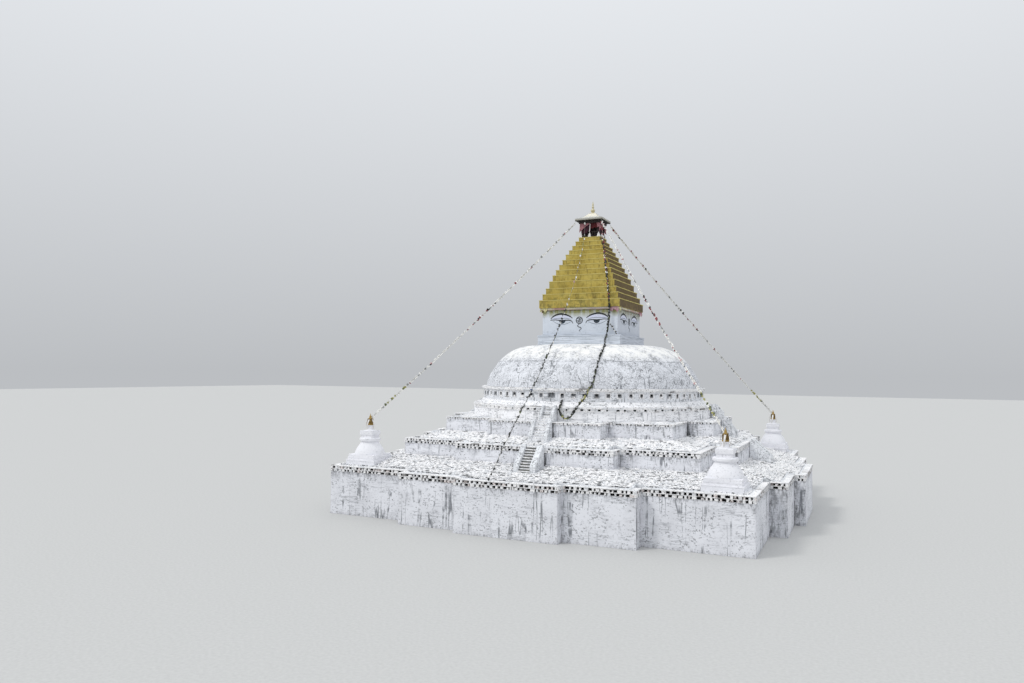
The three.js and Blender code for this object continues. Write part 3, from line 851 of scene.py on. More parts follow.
def beside_stair(place, flight):
    """How far a place on a wall is from the gully right of the flight of stairs that stands against it."""
    for turn in range(4):
        spot = turned(place, -turn)
        if flight and abs(spot.y + flight.face - OVERHANG) < ON_THE_WALL:
            return abs(spot.x - flight.shift - flight.width / 2 - BESIDE)
    return math.inf


# how far the damp and painted shade spread: down from the coping at least, up from the foot, and from corners
# and gullies
DRIP_AND_SHADOW_LEAST, DARK_FOOT, DARK_CORNER, GULLY = 0.14, 0.35, 0.4, 0.16


def damp_and_shade_at(place, z, low, high, corner, stair):
    """How dark damp and painted shade are: drips here and there and a painted shadow line under the coping, a
    darker foot, stained and shaded corners, and shaded gullies.
    """
    drips = DRIP_AND_SHADOW_LEAST + max(0.0, 0.15 + noise.noise(place * 0.9 + UP * 7))
    # drips here and there, over a thin painted shadow line right under the coping
    under = max(0.0, 1 - (high - z) / drips) * 0.5
    foot = max(0.0, 1 - (z - low) / DARK_FOOT) * 0.32
    # corners: partly stains, partly painted shade
    edge = max(0.0, 1 - corner / DARK_CORNER) * (0.55 + 0.9 * noise.noise(place * 0.37 + UP * 3))
    # painted shade in the gully beside a flight of stairs
    gully = max(0.0, 1.2 - stair / GULLY)
    return min(1.0, max(under, foot, edge, gully, 0.0))


def wall_skin(name, terrace, low, step, amount, flight=None):
    """The uneven face of a terrace's wall, with its damp and painted shade, also beside the flight of stairs
    against it.
    """
    high, proud = terrace["coping"], 0.004
    columns = [(*column, beside_stair(column[0], flight)) for column in ring_columns(terrace, step)]
    rows = max(2, round((high - low) / step))
    rings, damp_and_shade_levels = [], []
    for k in range(rows + 1):
        z = low + (high - low) * k / rows
        spots = [place + UP * z for place, *_ in columns]
        rings.append([spot + column[1] * (proud + max(0, rough(spot, 0.9, amount)))
                      for spot, column in zip(spots, columns)])
        damp_and_shade_levels += [damp_and_shade_at(place, z, low, high, corner, stair) for place, _, corner, stair in columns]
    made = skin(name, rings, terrace_wall, "whitewash", 40)
    made.data.attributes.new(DAMP_AND_SHADE, "FLOAT", "POINT").data.foreach_set("value", damp_and_shade_levels)


WALL_SINK = 0.03
wall_skin("lower_wall_face", LOWER, LOWER["foot"], 0.16, 0.03)
wall_skin("middle_wall_face", MIDDLE, MIDDLE["foot"] - WALL_SINK, 0.1, 0.035, FLIGHTS[0])
wall_skin("upper_wall_face", UPPER, UPPER["foot"] - WALL_SINK, 0.1, 0.035, FLIGHTS[1])


def coping_levels(terrace, rows):
    """Levels of a coping from below: rows of blocks with thin courses between them, and slabs on top."""
    z, high = terrace["coping"], terrace["top"]
    tall = high - z
    top_share, course_share = (0.15, 0.08) if rows > 1 else (0.42, 0.0)
    block = tall * (1 - top_share - course_share * (rows - 1)) / rows
    for row in range(rows):
        yield "blocks", (z, z + block)
        z += block
        if row < rows - 1:
            yield "course", (z, z + course_share * tall)
            z += course_share * tall
    yield "top", (z, high)


# kinds of coping stones, of which the near black core is painted shade in the gaps, and the least, most and
# usual width of a block
WHITE_STONE, SHADED_GAP, BROWN_STONE = 0, 1, 2
BLOCK_WIDTHS, BLOCK_BACK = (0.08, 0.36, 0.12), -0.22
GAP_LEAST, GAP_USUAL = 0.05, 0.1


def block_row(pile, wall, low, high, gap_most, brown):
    """Small blocks of many widths with open gaps between them. Some are low, and some are brown."""
    at = pile.random.uniform(0, 0.1)
    while at < wall.length:
        end = min(at + pile.random.triangular(*BLOCK_WIDTHS), wall.length)
        face = -0.02 + pile.random.uniform(-0.03, 0.015)
        top = high - max(0.0, pile.random.uniform(-0.3, 0.3)) * (high - low)
        kind = BROWN_STONE if pile.random.random() < brown else WHITE_STONE
        pile.brick(wall, (at, end), (BLOCK_BACK, face), (low, top), 0.018, kind)
        at = end + pile.random.triangular(GAP_LEAST, gap_most, GAP_USUAL)


def slab_row(pile, wall, low, high, back, wide, sag):
    """Thin slabs that lie over the blocks."""
    for at, end in pile.lengths(0.0, wall.length, wide):
        drop = pile.random.uniform(-sag, 0.0)
        pile.brick(wall, (at + 0.01, end - 0.01), (back, -0.008), (low, high + drop), 0.012)


def coping_of(name, terrace, rows, seed, gap_most, brown=0.0):
    """Rows of small blocks with gaps between thin courses of slabs, all round a terrace, over a near black
    core that is painted shade in the gaps.
    """
    pile = Pile(seed)
    back = -COPING_WIDTH - OVERHANG
    core = (terrace["coping"], terrace["top"] - 0.06)
    for wall in edges(terrace, OVERHANG):
        # a near black core as painted shade in the gaps
        pile.brick(wall, (0.1, wall.length - 0.1), (back, -0.18), core, kind=SHADED_GAP)
        for kind, level in coping_levels(terrace, rows):
            if kind == "blocks":
                block_row(pile, wall, *level, gap_most, brown)
            elif kind == "course":
                slab_row(pile, wall, *level, -0.3, (0.2, 0.7), 0.0)
            else:
                slab_row(pile, wall, *level, back, (0.25, 0.8), 0.035)
    made = pile.make(name + "_stones", coping_white, gap_shade, coping_brown, slot="coping_stone")
    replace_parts(made, name)


coping_of("lower_coping", LOWER, 2, 11, 0.42, 0.2)
coping_of("middle_coping", MIDDLE, 2, 12, 0.32)
coping_of("upper_coping", UPPER, 1, 13, 0.16)


# paving: rows of thin slabs that overlap downhill
def on_stair(point, margin=0.05):
    """Whether a point lies on one of the twelve flights, or nearer to it than the margin."""
    for turn in range(4):
        spot = turned(point, -turn)
        for flight in FLIGHTS:
            beside = abs(spot.x - flight.shift) < flight.width / 2 + margin
            if beside and -flight.face - flight.out - margin < spot.y < -flight.face + margin:
                return True
    return False


SMALL_STUPA_CLEAR, MISSING_SHARE = 1.5, 0.03
# the kind for lower slab edges painted as shade, and which faces they are
PAINTED_SHADE_EDGE, SHADED_SLAB_FACES = 1, (3, 4, 5)


def near_small_stupa(point):
    return max(abs(abs(point.x) - SMALL_AT), abs(abs(point.y) - SMALL_AT)) < SMALL_STUPA_CLEAR


def slab(pile, centre, wall, half, reach, gone, slope, shaded_edge_share):
    """A thin slab with broken lower corners, lying on the slope. On some slabs the lower edge is painted
    dark, as painted shade.
    """
    spin = pile.random.uniform(-0.22, 0.22)
    a = wall.along * math.cos(spin) + wall.out * math.sin(spin)
    o = wall.out * math.cos(spin) - wall.along * math.sin(spin)
    thick = pile.random.uniform(0.04, 0.08)
    lift = pile.random.uniform(0.0, 0.03)
    tilt = pile.random.uniform(0.03, 0.13)
    bite = pile.random.uniform(0.1, 0.3) * reach
    shape = [(-half, -reach), (half, -reach), (half, reach - bite), (half * 0.6, reach),
             (-half * 0.7, reach), (-half, reach - bite * 0.6)]
    top, bottom = [], []
    for u, v in shape:
        du, dv = (pile.random.uniform(-0.025, 0.025) for _ in range(2))
        spot = centre + a * (u + du) + o * (v + dv)
        height = slope(gone + v) + lift + tilt * (v + reach) + 0.006
        top.append(Vector((spot.x, spot.y, height + thick * 0.7)))
        bottom.append(Vector((spot.x, spot.y, height - thick * 0.5)))
    count = len(shape)
    rim = [(count + i, count + (i + 1) % count, (i + 1) % count, i) for i in range(count)]
    faces = [tuple(range(count))] + rim
    dark = pile.random.random() < shaded_edge_share
    kinds = [PAINTED_SHADE_EDGE if dark and i in SHADED_SLAB_FACES else 0 for i in range(len(faces))]
    pile.add(top + bottom, faces, kinds)


def paving(name, upper, run, lower, seed, pitch, far, shaded_edge_share, finish):
    """Slabs in rows round the wall of the upper terrace, as far out as the coping of the lower one."""
    pile = Pile(seed)
    limit = outline(lower, -COPING_WIDTH - 0.04)

    def slope(out):
        return max(lower["top"], paving_height(lower, upper, run, out))

    def fits(centre, wall, half, reach):
        for u, v in product((-1, 0, 1), (-1, 1)):
            spot = centre + wall.along * (u * half) + wall.out * (v * reach)
            if not inside(spot, limit) or on_stair(spot):
                return False
        return True

    for row in range(int(far / pitch)):
        gone = pitch * (row + 0.5)
        for wall in edges(upper, gone):
            at = pile.random.uniform(-0.1, 0.15)
            while at < wall.length:
                wide = pitch * pile.random.uniform(0.55, 1.5)
                centre = wall.start + wall.along * (at + wide / 2)
                reach = pitch * pile.random.uniform(0.52, 0.7)
                half = wide / 2 - pile.random.uniform(0.005, 0.03)
                at += wide
                if near_small_stupa(centre) and lower is LOWER or pile.random.random() < MISSING_SHARE:
                    continue
                for share in (1, 0.6, 0.3):
                    if fits(centre, wall, half * share, reach * share):
                        slab(pile, centre, wall, half * share, reach * share, gone, slope, shaded_edge_share)
                        break
    pile.make(name, finish, slab_edge_shade)


paving("lower_paving", MIDDLE, LOWER_RUN, LOWER, 21, 0.22, 6.0, 0.38, slab_white)
paving("middle_paving", UPPER, MIDDLE_RUN, MIDDLE, 22, 0.21, 5.2, 0.15, slab_clean)


def upper_paving():
    """Flat slabs round the ring on the upper terrace."""
    pile = Pile(23)
    limit = outline(UPPER, -COPING_WIDTH - 0.1)
    rows, step, level = 11, 0.33, UPPER["top"]
    for row in range(rows):
        radius = RING_RADIUS + 0.25 + step * row
        angle = 0.0
        while angle < 2 * math.pi:
            wide = pile.random.uniform(0.25, 0.7)
            place = at_angle(angle, radius)
            if inside(place.start + place.out * 0.2, limit) and not on_stair(place.start, 0.3):
                thick = pile.random.uniform(0.03, 0.06)
                lean = pile.random.uniform(-0.05, 0.12)
                pile.brick(place, (-wide / 2, wide / 2 - 0.02), (-step / 2, step / 2 + 0.01),
                           (level - 0.02, level + thick), 0.02, lean=lean)
            angle += wide / radius
    pile.make("upper_paving", slab_clean)


upper_paving()


# stairs: slabs on the treads and panels on the risers, white, and grey on the lowest flight as painted shade
# under the treads
def stair_treads():
    pile = Pile(31)
    tread, white, grey = 0, 1, 2
    overlap, gap = 0.02, 0.004
    for turn, flight in product(range(4), FLIGHTS):
        place = at_side(turn, flight.face)
        rise, run = (flight.top - flight.foot) / flight.treads, flight.out / flight.treads
        begin = flight.shift - flight.width / 2 + flight.left
        end = flight.shift + flight.width / 2 - flight.right
        for i in range(flight.treads):
            height = flight.top - i * rise
            for at, stop in pile.lengths(begin, end, (0.25, 0.7), 0.15):
                nose = (i + 1) * run + 0.03 + pile.random.uniform(-0.02, 0.015)
                above = height + 0.02 + pile.random.uniform(-0.012, 0.015)
                pile.brick(place, (at + gap, stop - gap), (i * run - overlap, nose), (height - 0.045, above),
                           0.01, tread)
            riser = place.start + place.out * ((i + 1) * run + 0.003)
            low, high = UP * (height - rise), UP * (height - 0.04)
            left, right = riser + place.along * begin, riser + place.along * end
            # the lowest flight's risers are grey as painted shade under the treads
            kind = grey if flight is FLIGHTS[0] else white
            pile.add([left + low, right + low, right + high, left + high], [(0, 1, 2, 3)], kind)
    pile.make("stair_treads", slab_white, riser_white, riser_shade_grey)


stair_treads()


# round parts
def round_faces():
    profile = smooth_profile(DOME, 6) + [(TOWER_BASE_HALF - 0.44, DOME[-1][1])]
    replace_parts(lathe("dome_face", profile, 330, dome_wall, smooth=60, amount=0.05), "dome")
    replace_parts(lathe("ring_face", RING, 340, ring_wall, smooth=50, amount=0.03), "base_ring")


def stones_round(pile, radius, low, high, deep, wide, gap, jitter, kind=0):
    """A circle of stones whose faces stand at the radius."""
    angle = 0.0
    while angle < 2 * math.pi - 0.5 * wide[0] / radius:
        length = pile.random.uniform(*wide)
        place = at_angle(angle + length / 2 / radius, radius)
        pile.brick(place, (-length / 2, length / 2), (-deep, 0), (low, high), jitter, kind)
        angle += (length + pile.random.uniform(*gap)) / radius


def ring_moulding():
    """A row of small blocks between two thin courses, in front of a back that is painted dark as painted
    shade, at the top of the ring.
    """
    pile = Pile(41)
    low, high, lid = RING_TOP - 0.25, RING_TOP - 0.1, RING_TOP + 0.01
    stones_round(pile, RING_RADIUS - 0.08, low, high, 0.05, (0.8, 0.8), (0, 0), 0.0, SHADED_GAP)
    stones_round(pile, RING_RADIUS + 0.08, high, lid, 0.4, (0.3, 0.9), (0.004, 0.02), 0.014)
    stones_round(pile, RING_RADIUS + 0.04, low, high, 0.25, (0.12, 0.8), (0.02, 0.26), 0.02)
    stones_round(pile, RING_RADIUS + 0.07, low - 0.07, low, 0.25, (0.3, 0.9), (0.004, 0.05), 0.012)
    stones_round(pile, RING_RADIUS - 0.12, lid, lid + 0.06, 0.3, (0.3, 0.7), (0.02, 0.1), 0.03)
    pile.make("ring_stones", coping_white, gap_shade)


def drum_cornice():
    """Three courses of long stones, the middle one furthest out."""
    pile = Pile(42)
    tall, lid = 0.1, 0.01
    for course, (back, deep, jitter) in enumerate([(0.14, 0.3, 0.01), (0.0, 0.5, 0.012), (0.02, 0.6, 0.012)]):
        low = DRUM_TOP + tall * course
        high = min(low + tall, CORNICE_TOP - lid)
        stones_round(pile, CORNICE_RADIUS - back, low, high, deep, (0.3, 0.8), (0.004, 0.012), jitter)
    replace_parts(pile.make("cornice_stones", coping_white), "drum_cornice")


def niche_frames():
    """Lintel, sill and jambs of every niche, and a mullion in the large one of each quarter.

    The niches away from the middle of a side have a stone on their floor.
    """
    pile = Pile(43)
    white, grey = 0, 1
    for index in range(4 * NICHES_PER_QUARTER):
        angle = math.radians(-135 + (index + 0.5) * 90 / NICHES_PER_QUARTER)
        place = at_angle(angle, DRUM_RADIUS)
        from_middle = abs(index % NICHES_PER_QUARTER - NICHES_PER_QUARTER // 2)
        large = from_middle == 0
        niche = MIDDLE_NICHE if large else NICHE
        half, sill = niche["half"], niche["sill"]
        top = sill + niche["tall"]
        proud = 0.05 if large else 0.03
        left, right = (half + pile.random.uniform(0.03, 0.12) for _ in range(2))
        pile.brick(place, (-left, right), (-0.02, proud + 0.02), (top, top + 0.07), 0.008)
        pile.brick(place, (-half - 0.07, half + 0.07), (-0.02, proud), (sill - 0.055, sill), 0.008)
        plain_jambs = pile.random.random() < 0.6 and not large
        inner = 0.0 if large else pile.random.uniform(0.0, 0.05)
        for sign in (-1, 1):
            jamb = sorted((sign * (half - inner), sign * (half + 0.05)))
            pile.brick(place, jamb, (-0.02, proud), (sill, top), 0.004, white if plain_jambs else grey)
        if large:
            pile.brick(place, (-0.02, 0.02), (-0.06, 0.0), (sill, top), kind=grey)
        if from_middle > OPEN_NICHES:
            fill = pile.random.uniform(0.06, 0.17)
            pile.brick(place, (-half, half), (-0.2, -0.02), (sill, sill + fill), 0.01)
    pile.make("niche_frames", coping_white, niche_grey)


round_faces()
ring_moulding()
drum_cornice()
niche_frames()

# painted eyes on every side of the tower, a few millimetres proud
PAINT_AT = TOWER_HALF + 0.005
BLACK, IRIS, GREY, LILAC = 0, 1, 2, 3

# strokes of one eye: kind of paint, how far behind the others, points of [x, z], and widths along them
EYE_STROKES = [
    (LILAC, 0.003, [(0.8, 16.84), (1.25, 16.94), (1.8, 16.97), (2.35, 16.9), (2.7, 16.78)],
     [0.1, 0.32, 0.36, 0.28, 0.06]),
    (BLACK, 0.0, [(0.66, 16.84), (0.95, 17.04), (1.35, 17.19), (1.8, 17.26), (2.25, 17.18), (2.6, 17.0),
                  (2.8, 16.8)], [0.05, 0.11, 0.14, 0.15, 0.14, 0.1, 0.05]),
    (BLACK, 0.0, [(0.62, 16.36), (0.72, 16.56), (0.98, 16.66), (1.34, 16.67), (1.66, 16.66), (1.98, 16.68),
                  (2.35, 16.72), (2.85, 16.67)], [0.04, 0.07, 0.09, 0.09, 0.09, 0.07, 0.04]),
    (GREY, 0.0, [(0.86, 16.5), (1.2, 16.36), (1.65, 16.28), (2.1, 16.36), (2.6, 16.6)],
     [0.03, 0.045, 0.045, 0.045, 0.03]),
    (GREY, 0.0, [(0.78, 16.74), (1.2, 16.84), (1.8, 16.87), (2.4, 16.84), (2.8, 16.74)],
     [0.02, 0.045, 0.05, 0.045, 0.02]),
]
# the iris from behind: height of its flat top, half its width, how far it hangs, paint, how far in front
IRIS_X = 1.65
IRIS_DISCS = [(16.65, 0.3, 0.29, BLACK, 0.001), (16.64, 0.24, 0.22, IRIS, 0.003),
              (16.63, 0.13, 0.13, BLACK, 0.005)]

# the round mark above the eyes, with its knot, and the curl between them, as points of [x, z]
KNOT_MIDDLE, KNOT_RADIUS = 16.64, 0.3
KNOT = [[(-0.22, 16.76), (-0.06, 16.84), (0.06, 16.7), (-0.08, 16.58), (0.06, 16.46), (0.2, 16.54)],
        [(0.2, 16.78), (0.06, 16.84), (-0.05, 16.7), (0.1, 16.6), (-0.06, 16.47), (-0.2, 16.54)],
        [(-0.26, 16.66), (-0.12, 16.6), (0.0, 16.66), (0.14, 16.7), (0.26, 16.62)]]
CURL = [(0.0, 16.3), (-0.1, 16.22), (-0.17, 16.13), (-0.06, 16.04), (0.13, 15.98), (0.18, 15.88),
        (0.05, 15.78), (-0.02, 15.64)]


def ribbon(pile, line, widths, kind=BLACK, behind=0.0):
    """A painted stroke on the front face, as points of [x, z] and its widths, repeated on all four sides."""
    line = [(p.x, p.z) for p in smooth_route([(x, 0, z) for x, z in line], 5)]
    for turn in range(4):
        vertices = []
        for i, (x, z) in enumerate(line):
            before, after = line[max(i - 1, 0)], line[min(i + 1, len(line) - 1)]
            run = Vector((after[0] - before[0], 0, after[1] - before[1])).normalized()
            across = Vector((-run.z, 0, run.x))
            share = i / (len(line) - 1) * (len(widths) - 1)
            left = min(int(share), len(widths) - 2)
            half = (widths[left] + (widths[left + 1] - widths[left]) * (share - left)) / 2
            middle = Vector((x, behind - PAINT_AT, z))
            vertices += [turned(middle - across * half, turn), turned(middle + across * half, turn)]
        pile.add(vertices, grid_faces(len(line), 2, flipped=True), kind)


def half_disc(pile, x, z, wide, tall, kind, proud, parts=24):
    """The lower half of an ellipse, filled, on all four sides."""
    for turn in range(4):
        spots = [Vector((x, -PAINT_AT - proud, z))]
        for i in range(parts + 1):
            angle = math.pi * (1 + i / parts)
            spots.append(Vector((x + wide * math.cos(angle), -PAINT_AT - proud, z + tall * math.sin(angle))))
        pile.add([turned(s, turn) for s in spots], [(0, i, i + 1) for i in range(1, parts + 1)], kind)


def painted_eyes():
    pile = Pile(51)
    for side in (-1, 1):
        for kind, behind, line, widths in EYE_STROKES:
            ribbon(pile, [(side * x, z) for x, z in line], widths, kind, behind)
        for disc in IRIS_DISCS:
            half_disc(pile, side * IRIS_X, *disc)
    angles = [t * math.pi / 8 for t in range(17)]
    ribbon(pile, [(KNOT_RADIUS * math.cos(t), KNOT_MIDDLE + KNOT_RADIUS * math.sin(t)) for t in angles],
           [0.07, 0.07])
    for line in KNOT:
        ribbon(pile, line, [0.045, 0.055, 0.045])
    ribbon(pile, CURL, [0.05, 0.06, 0.07, 0.07, 0.06, 0.045])
    pile.make("painted_eyes", line_paint, iris_paint, lid_paint, lilac_paint, slot="tower_paint")


def tower_bands():
    """A thin band below the spire's foot, and small mouldings on the tower's base."""
    pile = Pile(62)
    proud, foot = 0.04, TOWER_BASE_TOP
    band, base_band, foot_band = TOWER_HALF + proud, TOWER_BASE_HALF + proud, TOWER_HALF + 0.1
    for turn in range(4):
        tower, base = at_side(turn, TOWER_HALF), at_side(turn, TOWER_BASE_HALF)
        pile.brick(tower, (-band, band), (0.0, proud), (TOWER_TOP - 0.41, TOWER_TOP - 0.31))
        pile.brick(base, (-base_band, base_band), (-0.2, proud), (foot - 0.08, foot + 0.02), 0.004)
        pile.brick(tower, (-foot_band, foot_band), (-0.02, 0.1), (foot, foot + 0.08), 0.004)
    pile.make("tower_bands", tower_paint, slot="tower_paint")


def spire_edges():
    """A thin lighter slab at the top edge of every step of the spire."""
    pile = Pile(61)
    last, proud = len(SPIRE_RISES) - 1, 0.03
    halves = [SPIRE_LOW_HALF + (SPIRE_HIGH_HALF - SPIRE_LOW_HALF) * i / last for i in range(last + 1)]
    level = TOWER_TOP
    for half, next_half, rise in zip(halves, halves[1:] + halves[-1:], SPIRE_RISES):
        level += rise
        for turn in range(4):
            for at, end in pile.lengths(-half - proud, half + proud, (0.4, 1.1)):
                top = level + pile.random.uniform(0.0, 0.02)
                pile.brick(at_side(turn, half), (at, end), (next_half - 0.02 - half, proud),
                           (level - 0.05, top), 0.008)
    pile.make("spire_edges", spire_edge, slot="yellow_paint")


painted_eyes()
tower_bands()
spire_edges()


# cloths
def uneven(low, waves, shift=0.0, shift_by_turn=0.0):
    """A hem that comes and goes between low and one, and differs from side to side."""
    def hem(share, turn):
        moved = shift + shift_by_turn * turn
        wave = math.sin(waves * share + moved) * 0.6 + math.sin(2.7 * waves * share + 2 * moved) * 0.4
        return low + (1 - low) * (0.5 + 0.5 * wave)
    return hem


def drawn_aside(share, turn):
    return 0.98 - 0.72 * share ** 0.8


# one pleated cloth: the distance of its face from the middle, its span along a side, its top and its drop,
# the pitch and depth of its pleats, its hem, and how far it leans along the side or bows out
Cloth = namedtuple("Cloth", "finish slot holder face span top drop pleat depth hem lean bow",
                   defaults=[0.0, 0.0])
CLOTH_ROWS, FEWEST_COLUMNS, COLUMNS_A_PLEAT = 8, 8, 8
STRIP_TOP, STRIP_HALF, CURTAIN_TOP = TOWER_TOP - 0.01, 3.8, PAVILION_TOP - 0.01
SIDE_CLOTHS = {
    "tower_cloth_": Cloth(strip_cloth, "cream_cloth", "spire_step_01", 3.71, (-STRIP_HALF, STRIP_HALF),
                          STRIP_TOP, 0.24, 0.9, 0.07, uneven(0.7, 19, 0, 1)),
    "tower_bunch_pale_": Cloth(yellow_cloth, "cream_cloth", "spire_step_01", 3.74,
                               (-STRIP_HALF, 0.75 - STRIP_HALF), STRIP_TOP, 0.42, 0.2, 0.09,
                               uneven(0.3, 11, 0, 1), -0.03),
    "tower_bunch_pink_": Cloth(pink_bunch, "pink_cloth", "spire_step_01", 3.74,
                               (STRIP_HALF - 0.85, STRIP_HALF), STRIP_TOP, 0.5, 0.17, 0.09,
                               uneven(0.35, 9, 1, 1), 0.03),
    "pavilion_pink_": Cloth(pink_cloth, "pink_cloth", "canopy", 0.92, (-0.98, 0.06), CURTAIN_TOP, 1.15,
                            0.21, 0.06, drawn_aside, -0.06),
    "pavilion_red_": Cloth(red_cloth, "pink_cloth", "canopy", 0.88, (-0.02, 0.8), CURTAIN_TOP, 0.78,
                           0.24, 0.05, uneven(0.8, 7)),
    "pavilion_plum_": Cloth(plum_cloth, "pink_cloth", "canopy", 0.86, (-0.85, 0.1), CURTAIN_TOP, 1.25,
                            0.3, 0.04, uneven(0.75, 6)),
    "pavilion_rose_": Cloth(pink_cloth, "pink_cloth", "canopy", 0.92, (0.7, 0.98), CURTAIN_TOP, 0.7,
                            0.15, 0.05, uneven(0.6, 5), 0.05),
    "pavilion_streamer_": Cloth(white_cloth, "pink_cloth", "pavilion", 0.97, (0.02, 0.08), CURTAIN_TOP - 0.3,
                                0.8, 0.06, 0.03, uneven(0.9, 3), -0.06),
}
SMALL_CLOTHS = {
    "small_streamer_": Cloth(white_cloth, "garland_cord", "corner_finial_", 0.17, (-0.07, 0.07), 7.74, 0.88,
                             0.12, 0.05, uneven(0.8, 4, 0, 1), -0.08, 0.19),
    "small_wrap_": Cloth(wrap_cloth, "garland_cord", "corner_finial_", 0.17, (-0.16, 0.16), 7.8, 0.55,
                         0.14, 0.05, uneven(0.6, 6, 2, 1)),
}


def hung_cloth(name, cloth, turn, holder, centre=Vector()):
    """One cloth in front of a side. Its lean moves it along, and its bow swings it out on its way down."""
    left, right = cloth.span
    columns = max(FEWEST_COLUMNS, int((right - left) / cloth.pleat * COLUMNS_A_PLEAT))
    vertices = []
    for k in range(CLOTH_ROWS + 1):
        down = k / CLOTH_ROWS
        flare = 0.35 + 0.65 * down
        for i in range(columns + 1):
            share = i / columns
            x = left + (right - left) * share
            fall = cloth.drop * cloth.hem(share, turn)
            wave = math.sin(2 * math.pi * (x - left) / cloth.pleat + 0.7 * math.sin(5 * share + turn))
            pleat = cloth.depth * (0.55 + 0.45 * wave) * flare
            y = -cloth.face - pleat - cloth.bow * math.sin(2.7 * down)
            spot = Vector((x + cloth.lean * down * down, y, cloth.top - fall * down))
            vertices.append(centre + turned(spot, turn))
    faces = grid_faces(CLOTH_ROWS + 1, columns + 1, flipped=True)
    made = add_mesh(name, vertices, faces, [cloth.finish], cloth.slot, 180)
    area = sum(p.area for p in made.data.polygons)
    return made


for turn, side in enumerate(SIDES):
    hung = {name: hung_cloth(name + side, cloth, turn, cloth.holder) for name, cloth in SIDE_CLOTHS.items()}
    if side == "front":
        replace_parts(hung["tower_cloth_"], "tower_cloth")
        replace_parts(hung["pavilion_pink_"], "valance")

# canopy: a thin rim and a tent that sweeps up, square below and rounder above
CANOPY_LINE = smooth_profile([(CANOPY_HALF, CANOPY_RIM_TOP), (1.15, 26.52), (0.9, 26.62), (0.7, 26.73),
                              (0.56, 26.85), (0.44, 26.96), (0.36, 27.06)], 3)
SQUARE, ROUNDED = 40, 6


def square_ring(half, z, power=SQUARE, parts=24):
    """Points round a square of which the corners get rounder as the power falls."""
    spots = []
    for i in range(4 * parts):
        angle = (i / parts * 2 - 3) * math.pi / 4
        c, s = math.cos(angle), math.sin(angle)
        reach = half / (abs(c) ** power + abs(s) ** power) ** (1 / power)
        spots.append(Vector((c * reach, s * reach, z)))
    return spots


def canopy_tent():
    rings = [square_ring(CANOPY_HALF - 0.01, CANOPY_RIM_TOP)]
    for k, (half, z) in enumerate(CANOPY_LINE):
        share = k / (len(CANOPY_LINE) - 1)
        rings.append(square_ring(half, z, SQUARE - (SQUARE - ROUNDED) * share ** 0.5))
    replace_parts(skin("canopy_tent", rings, canopy_cream, "gilding", 35, cap=True), "canopy")


def canopy_rim():
    """From below: a dark underside, a lower edge painted dark as painted shadow, a grey band, and a light
    lip.
    """
    low, high, half = PAVILION_TOP + 0.002, CANOPY_RIM_TOP, CANOPY_HALF
    middle = low + 0.04
    soffit = [(half - 0.04, low + 0.013), (0.05, low + 0.038)]
    edge = [(1.0, low + 0.008), (half - 0.03, low), (half, low + 0.018), (half - 0.01, middle)]
    band = [(half - 0.01, middle), (half - 0.03, middle + 0.01), (half - 0.02, high - 0.04)]
    lip = [(half - 0.02, high - 0.04), (half, high - 0.03), (half - 0.02, high + 0.005),
           (half - 0.17, high + 0.04)]
    for name, line, finish, slot in (("canopy_soffit", soffit, timber, "dark_timber"),
                                     ("canopy_dark_edge", edge, rim_dark, "gilding"),
                                     ("canopy_rim", band, rim_grey, "gilding"),
                                     ("canopy_lip", lip, rim_light, "gilding")):
        skin(name, [square_ring(*ring) for ring in line], finish, slot, 35, cap=line is soffit)


def canopy_ribs():
    pile = Pile(71)
    half_width = 0.01
    for turn in range(4):
        side = at_side(turn)
        for u in (-1, -0.5, 0, 0.5, 1):
            for (h1, z1), (h2, z2) in zip(CANOPY_LINE[::3], CANOPY_LINE[3::3]):
                a = side.out * h1 + side.along * (u * h1) + UP * (z1 + 0.004)
                b = side.out * h2 + side.along * (u * h2) + UP * (z2 + 0.012)
                step = side.along * half_width
                pile.add([a - step, a + step, b + step, b - step], [(0, 1, 2, 3)])
    pile.make("canopy_ribs", rim_light, slot="gilding")


PINNACLE = [(0.33, 27.06), (0.33, 27.1), (0.26, 27.14), (0.15, 27.19), (0.13, 27.24), (0.19, 27.32),
            (0.21, 27.4), (0.17, 27.48), (0.1, 27.55), (0.08, 27.62), (0.11, 27.69), (0.11, 27.75),
            (0.07, 27.82), (0.06, 27.88), (0.08, 27.93), (0.08, 27.99), (0.05, 28.07), (0.035, 28.15),
            (0.03, 28.22), (0.012, 28.27), (0.002, 28.28)]
PEAK = [(0.13, 0.0), (0.14, 0.1), (0.09, 0.17), (0.1, 0.26), (0.04, 0.36), (0.005, 0.5)]


def pinnacle():
    made = lathe("pinnacle_gilt", smooth_profile(PINNACLE, 3), 40, dull_gilt, 60, slot="gilding")
    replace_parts(made, "pinnacle")


def peak_at(pile, side, x, kind):
    """A little whitewashed peak that stands at the edge of the spire's top step."""
    foot = side.start + side.along * x + UP * (PAVILION_FOOT + 0.01)
    points = [foot + side.along * (half * u) + side.out * (half * v) + UP * rise
              for half, rise in PEAK for u, v in ((-1, 1), (1, 1), (1, -1), (-1, -1))]
    pile.add(points, grid_faces(len(PEAK), 4, closed=True), kind)


